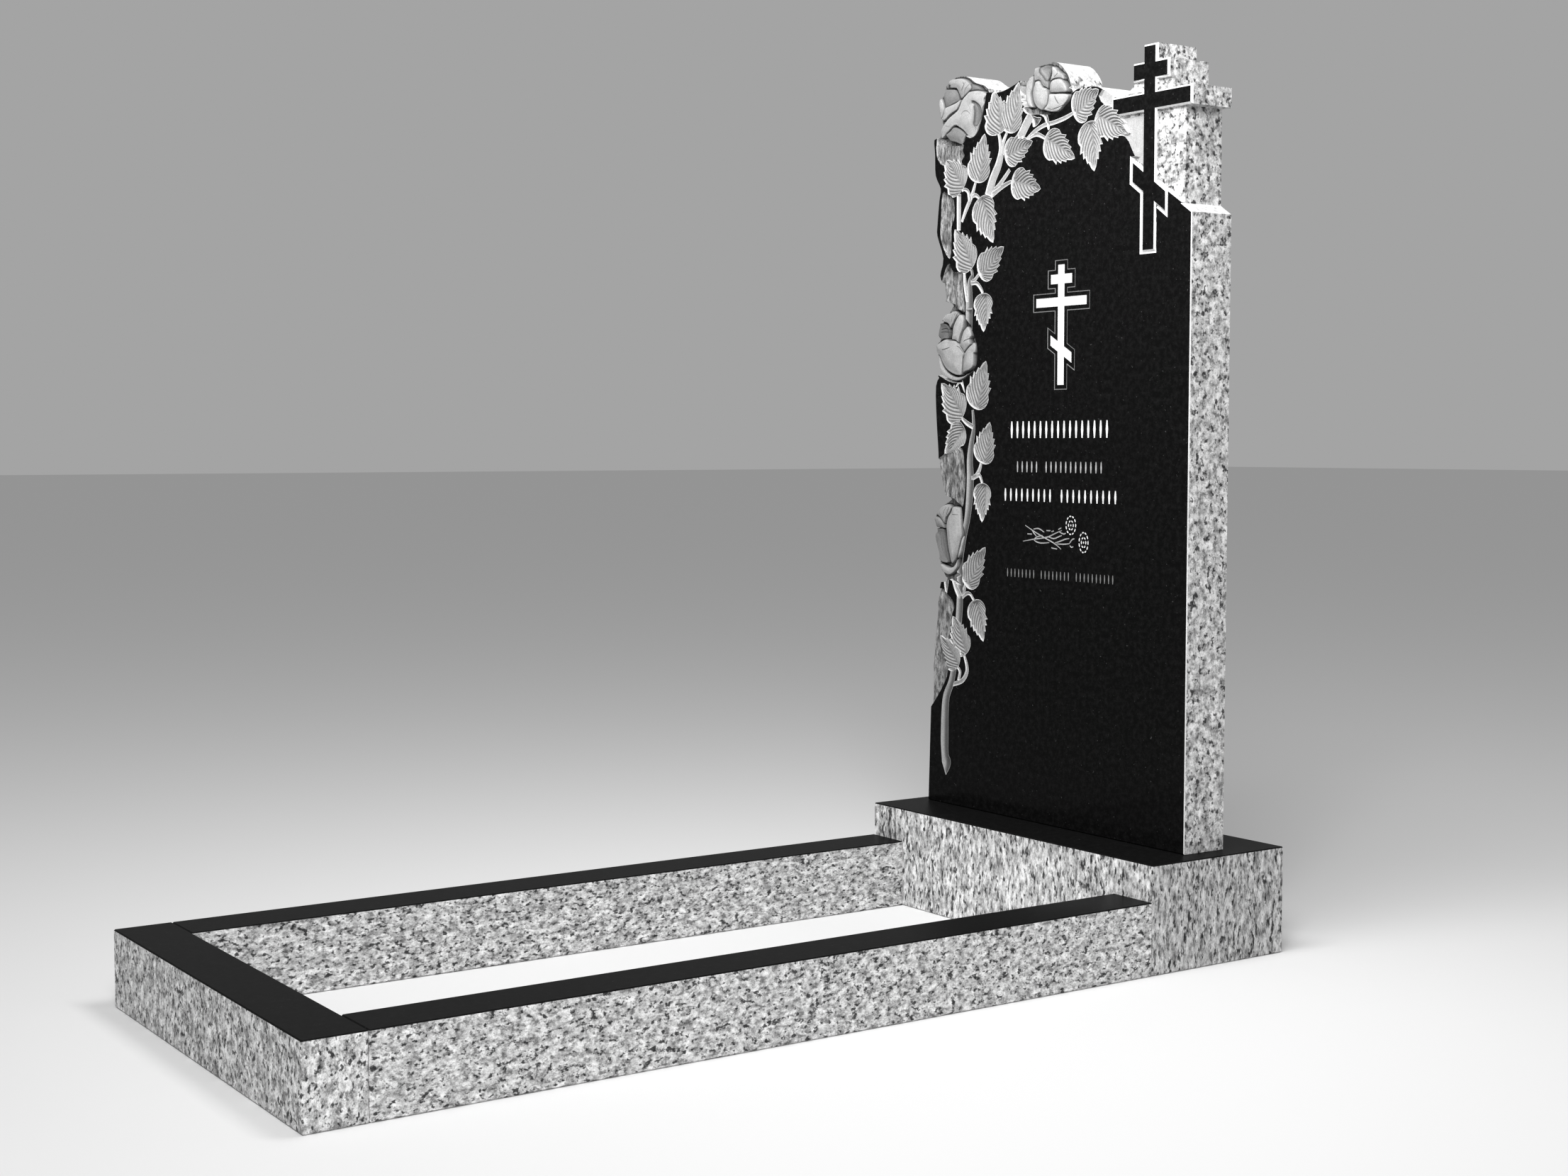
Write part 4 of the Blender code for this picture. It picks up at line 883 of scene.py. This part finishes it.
def petal_floor(outline, edge, middle, left):
    """A petal that bulges or dips from its edge to its middle and falls away to the rose's left side."""
    outline = np.array(outline, float)
    half = (outline.max(0) - outline.min(0)) / 2
    reach = half.min() * PETAL_REACH

    def floor(points, inwards):
        dome = 1 - (1 - np.clip(inwards / reach, 0, 1)) ** 2
        away = np.clip(1 - (points[:, 0] - left) / ROSE_TURN, 0, 1) ** 2
        lip = PETAL_LIP * np.exp(-((inwards - PETAL_LIP_AT) / PETAL_LIP_HALF) ** 2)
        depth = ROSE_DEPTH * (1 - (edge + (middle - edge) * dome + lip)) + ROSE_FALL * away
        return np.minimum(-depth, -PETAL_LEAST)

    return floor


def petal_tone(tone):
    """Painted shade along a petal's edge, with a painted highlight on the lip beside it."""
    def shade(points, inwards):
        edge = PETAL_EDGE_SHADE * np.exp(-inwards / PETAL_EDGE_WIDTH)
        return tone * (PETAL_TONE - edge + PETAL_LIP_HIGHLIGHT * np.exp(-(inwards - PETAL_HIGHLIGHT_AT) ** 2))
    return shade


def crease_layer(points, width, shift):
    """A fold between or on petals, sunk and darkened with painted shade."""
    line = [(x - shift, z, w) for x, z, w in tapered(points, width)]
    middle = smooth(line, CURVE_STEPS, False)[:, :2]
    return Layer(
        ribbon(line, CURVE_STEPS), lambda places, inwards: np.full(len(places), CREASE_DEPTH), kind="crease",
        wall=width * CREASE_WALL, spacing=0, lines=[middle], tone=CREASE_SHADE,
    )


def carved_layers():
    """All carved shapes from the bottom up."""
    layers = [Layer(outline, flat_floor(RECESS_DEPTH), GRANITE, spacing=0) for outline in RECESSES]
    layers.append(Layer(CORNER_GROUND, ground_strokes, CARVED, spacing=1.6))
    layers.append(Layer(LEDGE, flat_floor(LEDGE_DEPTH), CARVED, spacing=0))
    cross = cross_outline(CROSS, CROSS_SLOPE)
    deep = CROSS_BEVEL / GROOVE_HALF
    layers.append(Layer(
        moved_in(cross, -2 * GROOVE_HALF), lambda points, inwards: -deep * inwards, CUT_AND_HIGHLIGHT, kind="cut", spacing=0,
    ))
    layers.append(Layer(
        moved_in(cross, -GROOVE_HALF),
        lambda points, inwards: np.minimum(-CROSS_BEVEL + deep * inwards, 0),
        POLISHED, wall=CROSS_WALL, spacing=0, lines=[np.concatenate([cross, cross[:1]])], rim=(GROOVE_HALF, CUT_AND_HIGHLIGHT),
    ))
    for outline in BARK:
        layers.append(Layer(
            smooth(outline, CURVE_STEPS, True), bark_floor, ROUGH, spacing=BARK_SPACING, tone=bark_tone,
        ))
    for stem in STEMS:
        line = smooth(stem, STEM_STEPS, False)[:, :2]
        widest = max(point[2] for point in stem)
        tone = stem_tone(line, widest)
        layers.append(Layer(
            ribbon(stem), stem_floor(widest), wall=min(WALL, widest / 6), lip=LIP, lines=[line], tone=tone,
            rim=None if callable(tone) else (RIM, CUT_AND_HIGHLIGHT),
        ))
    for outline in BRACTS:
        left = min(x for x, _ in outline) - ROSE_TURN
        high = max(z for _, z in outline) - min(z for _, z in outline)
        layers.append(Layer(
            smooth(outline, CURVE_STEPS, True), petal_floor(outline, BRACT_EDGE, BRACT_MIDDLE, left), ROUGH, lip=LIP,
            rim=None if high > BRACT_HIGH else (RIM, CUT_AND_HIGHLIGHT), tone=bark_tone,
        ))
    layers += [crease_layer(points, width, SEPAL_SET_LEFT) for points, width in SEPAL_CREASES]
    for outline, ground, petals, creases in zip(ROSE_OUTLINES, ROSE_GROUNDS, PETALS, CREASES):
        left = rose_outline(outline)[:, 0].min()
        # The rose's deep ground is darkened with painted shade
        layers.append(Layer(
            smooth(points_of(ground), CURVE_STEPS, True), flat_floor(ROSE_DEPTH), ROUGH, spacing=GROUND_SPACING,
            tone=GROUND_SHADE,
        ))
        # Each petal's tone darkens those in hollows and folds as painted shade
        for edge, middle, tone, *numbers in petals:
            placed = set_left(points_of(numbers), petal_depth(edge, middle))
            layers.append(Layer(
                smooth(placed, CURVE_STEPS, True), petal_floor(placed, edge, middle, left),
                spacing=PETAL_SPACING, tone=petal_tone(tone), crevice=CREVICE,
            ))
        layers += [crease_layer(points_of(numbers), width, CREASE_SET_LEFT) for width, *numbers in creases]
    for row in LEAVES:
        leaf = Leaf(*row)
        layers.append(Layer(
            leaf.outline(), leaf.floor, lines=leaf.lines(), lip=LIP, rim=(RIM, CUT_AND_HIGHLIGHT), tone=leaf.tone,
        ))
    return layers + small_cross_layers() + inscription_layers() + carnation_layers()


def painted(outline, finish):
    """A shallow engraved and painted shape."""
    return Layer(outline, flat_floor(PAINT_DEPTH), finish, wall=PAINT_WALL, spacing=0)


def small_cross_layers():
    """The engraved cross: a thin line around it, a polished band, and the white cross itself."""
    cross = cross_outline(SMALL_CROSS, SMALL_CROSS_SLOPE)
    inner, outer = SMALL_CROSS_LINE
    return [
        painted(moved_in(cross, -outer), GREY),
        Layer(moved_in(cross, -inner), flat_floor(0), POLISHED, wall=PAINT_WALL, spacing=0),
        painted(cross, WHITE),
    ]


def stroke(x, low, high, width, finish):
    """One engraved stroke: a slim upright bar that narrows to both ends."""
    middle = (low + high) / 2
    line = [(x, low, 0.5 * width), (x, middle, width), (x, high, 0.5 * width)]
    return painted(ribbon(line, 1), finish)


def inscription_layers():
    """Rows of separate strokes in the places of the inscription; they form no letters and no numerals."""
    layers = []
    for middle, left, right, height, width, paint, groups in INSCRIPTION:
        finish = PAINTS[paint]
        gaps = len(groups) - 1
        step = (right - left) / (sum(groups) - 1 + GROUP_GAP * gaps)
        x = left
        for count in groups:
            for _ in range(count):
                layers.append(stroke(x, middle - height / 2, middle + height / 2, width, finish))
                x += step
            x += GROUP_GAP * step
    return layers


def carnation_layers():
    """Two carnations drawn in lines: crossing stems, and heads of short strokes in two rings."""
    layers = [painted(ribbon(tapered(points, CARNATION_STEM), CURVE_STEPS), LIGHT) for points in CARNATION_STEMS]
    half_eye, eye_width = CARNATION_EYE
    for x, z, wide, high in CARNATION_HEADS:
        for count, size in CARNATION_RINGS:
            for k in range(count):
                middle = 2 * math.pi * k / count
                half = CARNATION_SPAN * 2 * math.pi / count
                arc = [
                    (x + wide * size * math.cos(a), z + high * size * math.sin(a), w)
                    for a, w in zip((middle - half, middle, middle + half), CARNATION_WIDTHS)
                ]
                layers.append(painted(ribbon(arc, 2), WHITE))
        layers.append(stroke(x, z - half_eye, z + half_eye, eye_width, WHITE))
    return layers


def grid_inside(outline, spacing):
    """Points of a triangular grid that lie well inside an outline."""
    low = outline.min(0)
    high = outline.max(0)
    rows = []
    row_step = spacing * math.sqrt(3) / 2
    for i, z in enumerate(np.arange(low[1], high[1], row_step)):
        x = np.arange(low[0] + (i % 2) * spacing / 2, high[0], spacing)
        rows.append(np.stack([x, np.full(len(x), z)], 1))
    grid = np.concatenate(rows)
    return grid[depth_inside(grid, outline) > spacing * GRID_FREE]


class Net:
    """Points and fixed edges of the relief's triangulation."""

    def __init__(self):
        self.points = []
        self.edges = []
        self.loose = []

    def add_line(self, line, shown, closed):
        """Adds a run of points with the edges between those that show."""
        first = len(self.points)
        self.points.extend(line)
        count = len(line)
        for i in range(count if closed else count - 1):
            j = (i + 1) % count
            if shown[i] or shown[j]:
                self.edges.append((first + i, first + j))

    def add_points(self, points):
        """Adds points without edges."""
        first = len(self.points)
        self.points.extend(points)
        self.loose.extend(range(first, len(self.points)))

    def triangles(self):
        """Points and triangles of the constrained Delaunay triangulation."""
        used = sorted({i for edge in self.edges for i in edge} | set(self.loose))
        place = {old: new for new, old in enumerate(used)}
        points = [Vector(self.points[i]) for i in used]
        edges = [(place[a], place[b]) for a, b in self.edges]
        points, _, faces, *_ = delaunay_2d_cdt(points, edges, [], 0, MERGE)
        return np.array([tuple(p) for p in points]), np.array(faces)


def shows(points, layers_above):
    """True for each point that no later layer covers."""
    points = np.array(points, float)
    free = np.ones(len(points), bool)
    for layer in layers_above:
        if layer.kind != "fill":
            continue
        inside = near(points, layer.outline)
        if len(inside):
            covered = depth_inside(points[inside], layer.outline) > layer.lip + WALL_HIDES * layer.wall
            free[inside[covered]] = False
    return free


def relief():
    """The stele's front: points on the sheet, heights, tones, triangles and their finishes."""
    layers = carved_layers()
    silhouettes = [slab_outline()] + [rose_outline(outline) for outline in ROSE_OUTLINES]
    net = Net()
    for outline in silhouettes:
        net.add_line(outline, np.ones(len(outline), bool), True)
    chamfer = EDGE_CHAMFER * 1000
    bevel_line = moved_in(silhouettes[0], chamfer)
    net.add_line(bevel_line, shows(bevel_line, layers), True)
    for i, layer in enumerate(layers):
        above = layers[i + 1:]
        for loop in layer.loops():
            net.add_line(loop, shows(loop, above), True)
        for line in layer.lines:
            net.add_line(line, shows(line, above), False)
        if layer.spacing:
            grid = grid_inside(layer.outline, layer.spacing)
            if len(grid):
                net.add_points(grid[shows(grid, above)])
    points, faces = net.triangles()
    middles = points[faces].mean(1)
    kept = np.zeros(len(faces), bool)
    edge_gap = np.full(len(points), -1e9)
    for outline in silhouettes:
        kept |= depth_inside(middles, outline) > 0
        edge_gap = np.maximum(edge_gap, depth_inside(points, outline))
    heights = np.zeros(len(points))
    tones = np.ones(len(points))
    finishes = np.full(len(faces), POLISHED)
    for layer in layers:
        layer.carve(points, heights, tones)
        layer.paint(middles, finishes)
    # The right edge's chamfer gets the pale cut finish, partly a painted highlight
    arris = (edge_gap[faces].mean(1) < chamfer) & (middles[:, 0] > BLOCK_RIGHT) & (finishes == POLISHED)
    finishes[arris] = CUT_AND_HIGHLIGHT
    deep = (heights[faces].mean(1) < -CROSS_BEVEL - BEVEL_SLACK) & (middles[:, 0] > CROSS_SIDE)
    finishes[deep & (finishes == CUT_AND_HIGHLIGHT)] = GRANITE
    heights = np.minimum(heights, -np.clip(chamfer - edge_gap, 0, chamfer) / 1000)
    return points, heights, tones, faces[kept], finishes[kept]


def on_stele(point, depth):
    """Place in the set of a point on the sheet, at a depth behind the polished face."""
    x = STELE_LOW[0] + (STELE_HIGH[0] - STELE_LOW[0]) * (point[0] - SHEET_LEFT) / SHEET_WIDTH
    z = STELE_LOW[2] + (STELE_HIGH[2] - STELE_LOW[2]) * (point[1] - SHEET_FOOT) / SHEET_HEIGHT
    return Vector((max(x, STELE_LOW[0]), STELE_LOW[1] + depth, min(z, STELE_HIGH[2])))


# Materials: noise fields as scale per metre, detail and roughness, and ramps as stops of a position and a grey

CRYSTAL_FIELD = (120.0, 6.0, 0.8)
CRYSTALS = ((0.34, 0.20), (0.44, 0.42), (0.52, 0.65), (0.63, 0.93))
GREY_FIELD = (200.0, 5.0, 0.7)
GREY_CRYSTALS = ((0.49, 0.0), (0.61, 0.80))
SPECK_FIELD = (270.0, 2.0, 0.5)
BLACK_SPECKS = ((0.565, 0.0), (0.655, 0.92))
CLOUD_FIELD = (140.0, 5.0, 0.78)
FLECK_FIELD = (330.0, 1.0, 0.6)
FINE_FIELD = (900.0, 2.0, 0.6)
BROAD_FIELD = (90.0, 3.0, 0.6)
STREAK_FIELD = (330.0, 3.0, 0.7)
STREAK_STRETCH = (1, 1, 3.5)
GREY_STONE = (0.08, 0.08, 0.08, 1)
BLACK_STONE = (0.015, 0.015, 0.016, 1)
# Grey of the painted highlight on faces that point up
TOP_HIGHLIGHT_STONE = (0.86, 0.86, 0.86, 1)
FLECKS = ((0.74, 0.0), (0.82, 1.0))
# Ramp by how far a face points up, for that painted highlight
UP_FACING_HIGHLIGHT = ((0.3, 0.0), (0.7, 0.45))
BROAD_GRAIN = ((0.3, 0.84), (0.7, 1.0))
STREAKS = ((0.36, 0.22), (0.50, 0.85), (0.62, 1.3))

# Polished stone: greys of its ground, its clouds and its flecks
FACE_BLACK = (0.0036, 0.0095, 0.05)
TOP_BLACK = (0.0055, 0.0090, 0.04)


def nodes_of(name):
    """A new material with its node tree, links and Principled shader."""
    material = bpy.data.materials.new(name)
    material.use_nodes = True
    tree = material.node_tree
    return material, tree, tree.nodes["Principled BSDF"]


def add(tree, kind, **values):
    """A node with the given properties and input values."""
    node = tree.nodes.new(kind)
    for key, value in values.items():
        if key.startswith("in_"):
            node.inputs[key[3:].replace("_", " ")].default_value = value
        else:
            setattr(node, key, value)
    return node


def coordinates(tree, stretch=(1, 1, 1)):
    """Object coordinates in metres, divided along each axis by a stretch."""
    place = add(tree, "ShaderNodeTexCoord")
    mapping = add(tree, "ShaderNodeMapping")
    mapping.inputs["Scale"].default_value = tuple(1 / s for s in stretch)
    tree.links.new(place.outputs["Object"], mapping.inputs["Vector"])
    return mapping.outputs["Vector"]


def ramp(tree, source, stops):
    """A colour ramp of grey stops, each a position and a grey."""
    node = add(tree, "ShaderNodeValToRGB")
    elements = node.color_ramp.elements
    while len(elements) < len(stops):
        elements.new(0.5)
    for element, (position, tone) in zip(elements, stops):
        element.position = position
        element.color = (tone, tone, tone, 1)
    tree.links.new(source, node.inputs["Fac"])
    return node.outputs["Color"]


def mix(tree, mode, first, second, factor):
    """Two colours mixed; each is a tuple or a socket, and the factor a number or a socket."""
    node = add(tree, "ShaderNodeMix", data_type="RGBA", blend_type=mode)
    sockets = [s for s in node.inputs if s.type == "RGBA"]
    for socket, value in zip(sockets, (first, second)):
        if isinstance(value, tuple):
            socket.default_value = value
        else:
            tree.links.new(value, socket)
    fac = node.inputs[0]
    if isinstance(factor, (int, float)):
        fac.default_value = factor
    else:
        tree.links.new(factor, fac)
    return [s for s in node.outputs if s.type == "RGBA"][0]


def speckle(tree, vector, field, stops):
    """Greys that a ramp lays on a noise field."""
    scale, detail, roughness = field
    node = add(tree, "ShaderNodeTexNoise", in_Scale=scale, in_Detail=detail, in_Roughness=roughness)
    tree.links.new(vector, node.inputs["Vector"])
    return ramp(tree, node.outputs["Fac"], stops)


def gloss(shader, roughness, specular):
    """Sets a shader's roughness and specular level."""
    shader.inputs["Roughness"].default_value = roughness
    shader.inputs["Specular IOR Level"].default_value = specular


def granite_colour(tree, stretch, shade=1.0):
    """Light granite: pale and grey crystals with dark specks; the shade scales its brightness."""
    vector = coordinates(tree, stretch)
    ground = speckle(tree, vector, CRYSTAL_FIELD, [(p, tone * shade) for p, tone in CRYSTALS])
    ground = mix(tree, "MIX", ground, GREY_STONE, speckle(tree, vector, GREY_FIELD, GREY_CRYSTALS))
    return mix(tree, "MIX", ground, BLACK_STONE, speckle(tree, vector, SPECK_FIELD, BLACK_SPECKS))


def black_colour(tree, base, cloud, fleck):
    """Polished black stone with faint clouds and sparse small flecks."""
    vector = coordinates(tree)
    clouds = speckle(tree, vector, CLOUD_FIELD, ((0.45, base), (0.68, cloud)))
    return mix(tree, "MIX", clouds, (fleck, fleck, fleck, 1), speckle(tree, vector, FLECK_FIELD, FLECKS))


def polished(name):
    """Polished black face."""
    material, tree, shader = nodes_of(name)
    tree.links.new(black_colour(tree, *FACE_BLACK), shader.inputs["Base Color"])
    gloss(shader, 0.14, 0.02)
    return material


def facing(tree):
    """Sockets of the surface normal's X, Y and Z."""
    parts = add(tree, "ShaderNodeSeparateXYZ")
    tree.links.new(add(tree, "ShaderNodeNewGeometry").outputs["Normal"], parts.inputs["Vector"])
    return parts.outputs


def sawn(name, stretch, shade):
    """Sawn light granite, with a painted highlight where it faces up."""
    material, tree, shader = nodes_of(name)
    normal = facing(tree)
    # Faces that point up get a painted highlight towards pale stone
    colour = mix(
        tree, "MIX", granite_colour(tree, stretch, shade), TOP_HIGHLIGHT_STONE, ramp(tree, normal["Z"], UP_FACING_HIGHLIGHT),
    )
    tree.links.new(colour, shader.inputs["Base Color"])
    gloss(shader, 0.55, 0.12)
    return material


def block(name, stretch, shade, end_painted_shade):
    """Sawn light granite with a dark polished top; the ends towards X are darkened by painted shade."""
    material, tree, shader = nodes_of(name)
    normal = facing(tree)
    level = add(tree, "ShaderNodeMath", operation="GREATER_THAN")
    level.inputs[1].default_value = 0.5
    tree.links.new(normal["Z"], level.inputs[0])
    light = granite_colour(tree, stretch, shade)
    # Faces towards X are darkened with painted shade
    if end_painted_shade < 1:
        side = add(tree, "ShaderNodeMath", operation="ABSOLUTE")
        tree.links.new(normal["X"], side.inputs[0])
        ends = ramp(tree, side.outputs["Value"], ((0.4, 1.0), (0.6, end_painted_shade)))
        light = mix(tree, "MULTIPLY", light, ends, 1.0)
    dark = black_colour(tree, *TOP_BLACK)
    tree.links.new(mix(tree, "MIX", light, dark, level.outputs["Value"]), shader.inputs["Base Color"])
    gloss(shader, 0.4, 0.02)
    return material


def carved(name, tone, streaks=False):
    """Milled stone: light grey with a fine grain, times the mesh's tone, which holds painted shade and highlights and
    random streaks; rough stone has streaks.
    """
    material, tree, shader = nodes_of(name)
    vector = coordinates(tree)
    fine = speckle(tree, vector, FINE_FIELD, ((0.3, tone * 0.80), (0.7, tone * 1.16)))
    broad = speckle(tree, vector, BROAD_FIELD, BROAD_GRAIN)
    colour = mix(tree, "MULTIPLY", fine, broad, 1.0)
    if streaks:
        marks = speckle(tree, coordinates(tree, STREAK_STRETCH), STREAK_FIELD, STREAKS)
        colour = mix(tree, "MULTIPLY", colour, marks, 1.0)
    # The tone attribute carries the relief's painted shade and highlights, and the bark's random streaks
    shade = add(tree, "ShaderNodeAttribute", attribute_name="tone")
    tree.links.new(mix(tree, "MULTIPLY", colour, shade.outputs["Color"], 1.0), shader.inputs["Base Color"])
    gloss(shader, 0.75, 0.12)
    return material


def finish_materials():
    """The stele's finishes, in the order of their numbers."""
    return [
        polished("black granite polished"),
        carved("granite carved", 0.37),
        # The cut finish's pale tone is partly a painted highlight of lit walls
        carved("granite cut with painted highlight", 0.62),
        sawn("granite sawn stele", (1.5, 1.5, 1.6), 0.86),
        carved("white filling", 0.74),
        carved("light line", 0.40),
        carved("grey line", 0.20),
        carved("granite rough", 0.335, streaks=True),
    ]


def stele():
    """The slab with its relief, as one closed mesh."""
    points, heights, tones, faces, finishes = relief()
    used = sorted(set(faces.ravel()))
    work = bmesh.new()
    # The tone holds the relief's painted shade and highlights, and random bark streaks
    shade = work.verts.layers.float_color.new("tone")
    front = {}
    for i in used:
        vert = work.verts.new(on_stele(points[i], -heights[i]))
        vert[shade] = (tones[i], tones[i], tones[i], 1)
        front[i] = vert
    for face, finish in zip(faces, finishes):
        work.faces.new([front[i] for i in face]).material_index = int(finish)
    rim = [edge for edge in work.edges if edge.is_boundary]
    result = bmesh.ops.extrude_edge_only(work, edges=rim)
    for item in result["geom"]:
        if isinstance(item, bmesh.types.BMVert):
            item.co.y = STELE_HIGH[1]
        if isinstance(item, bmesh.types.BMFace):
            item.material_index = GRANITE
    rear = [item for item in result["geom"] if isinstance(item, bmesh.types.BMEdge) and item.is_boundary]
    filled = bmesh.ops.edgeloop_fill(work, edges=rear)
    for face in filled["faces"]:
        face.material_index = GRANITE
    bmesh.ops.triangulate(work, faces=filled["faces"])
    bmesh.ops.recalc_face_normals(work, faces=work.faces[:])
    mesh = bpy.data.meshes.new("stele_carved")
    work.to_mesh(mesh)
    work.free()
    mesh.shade_smooth()
    mesh.set_sharp_from_angle(angle=SHARP_ANGLE)
    for material in finish_materials():
        mesh.materials.append(material)
    item = bpy.data.objects.new("stele_carved", mesh)
    bpy.context.scene.collection.objects.link(item)
    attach(item, "root")
    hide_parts("stele")


def dress_blocks():
    """Granite with dark tops on the plinth and the bars."""
    # Each block: stretch of its grain, shade of its granite, and painted shade on its ends towards X
    drawn = {
        "plinth": ((1.0, 1.0, 2.4), 1.10, 0.68),
        "bed_bar_front": ((1.1, 1.1, 1.4), 0.98, 1.0),
        "bed_bar_left": ((1.0, 1.7, 1.0), 0.90, 1.0),
        "bed_bar_right": ((1.0, 1.5, 1.0), 0.94, 1.0),
    }
    for node, (stretch, shade, end_painted_shade) in drawn.items():
        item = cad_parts[node]
        item.data.materials.clear()
        item.data.materials.append(block("granite " + node, stretch, shade, end_painted_shade))


# Camera, floor and light

CAMERA_PLACE = (1.93042, -1.24279, 0.56995)
CAMERA_TURN = 0.97291
CAMERA_PITCH = -0.06585
FOCAL_PIXELS = 3066.19
IMAGE_WIDTH = 2212
SENSOR = 36.0

SURROUND = 0.371
FLOOR_SHADE = 0.80
FLOOR_HALF = 40.0
FLOOR_HEIGHT = -0.0005

# Lamps: power in watts, side, and the direction the light comes from; the key lamp stands at a distance from a
# point in the set's middle
KEY_LIGHT = 68.0
KEY_SIZE = 1.15
KEY_TOWARDS = (0.68, -0.50, 0.53)
KEY_DISTANCE = 3.0
MIDDLE = (0, 0, 0.45)
TOP_LIGHT = 14.5
TOP_SIZE = 0.6
TOP_TOWARDS = (0.45, -0.6, 0.5)
TOP_PLACE = (0.30, -0.1, 1.4)


def camera():
    """The camera at the photograph's place."""
    data = bpy.data.cameras.new("camera")
    data.sensor_width = SENSOR
    data.lens = FOCAL_PIXELS / IMAGE_WIDTH * SENSOR
    item = bpy.data.objects.new("camera", data)
    item.location = CAMERA_PLACE
    item.rotation_euler = (math.pi / 2 + CAMERA_PITCH, 0, CAMERA_TURN)
    bpy.context.scene.collection.objects.link(item)
    bpy.context.scene.camera = item


def lamp(name, place, towards, power, size):
    """A soft square lamp at a place, shining away from a direction."""
    data = bpy.data.lights.new(name, "AREA")
    data.energy = power
    data.size = size
    item = bpy.data.objects.new(name, data)
    item.location = place
    item.rotation_euler = Vector(towards).to_track_quat("Z", "Y").to_euler()
    bpy.context.scene.collection.objects.link(item)


def studio():
    """Plain pale floor, an even grey surround and two soft lamps."""
    work = bmesh.new()
    bmesh.ops.create_grid(work, x_segments=1, y_segments=1, size=FLOOR_HALF)
    mesh = bpy.data.meshes.new("floor")
    work.to_mesh(mesh)
    work.free()
    floor = bpy.data.objects.new("floor", mesh)
    floor.location = (0, 0, FLOOR_HEIGHT)
    bpy.context.scene.collection.objects.link(floor)
    material, _, shader = nodes_of("pale floor")
    shader.inputs["Base Color"].default_value = (FLOOR_SHADE, FLOOR_SHADE, FLOOR_SHADE, 1)
    gloss(shader, 0.9, 0.0)
    floor.data.materials.append(material)
    world = bpy.data.worlds.new("surround")
    world.use_nodes = True
    back = world.node_tree.nodes["Background"]
    back.inputs["Color"].default_value = (SURROUND, SURROUND, SURROUND, 1)
    back.inputs["Strength"].default_value = 1.0
    bpy.context.scene.world = world
    towards = Vector(KEY_TOWARDS).normalized()
    lamp("key", Vector(MIDDLE) + KEY_DISTANCE * towards, towards, KEY_LIGHT, KEY_SIZE)
    lamp("top", TOP_PLACE, TOP_TOWARDS, TOP_LIGHT, TOP_SIZE)
    bpy.context.scene.view_settings.view_transform = "Standard"


stele()
dress_blocks()
camera()
studio()
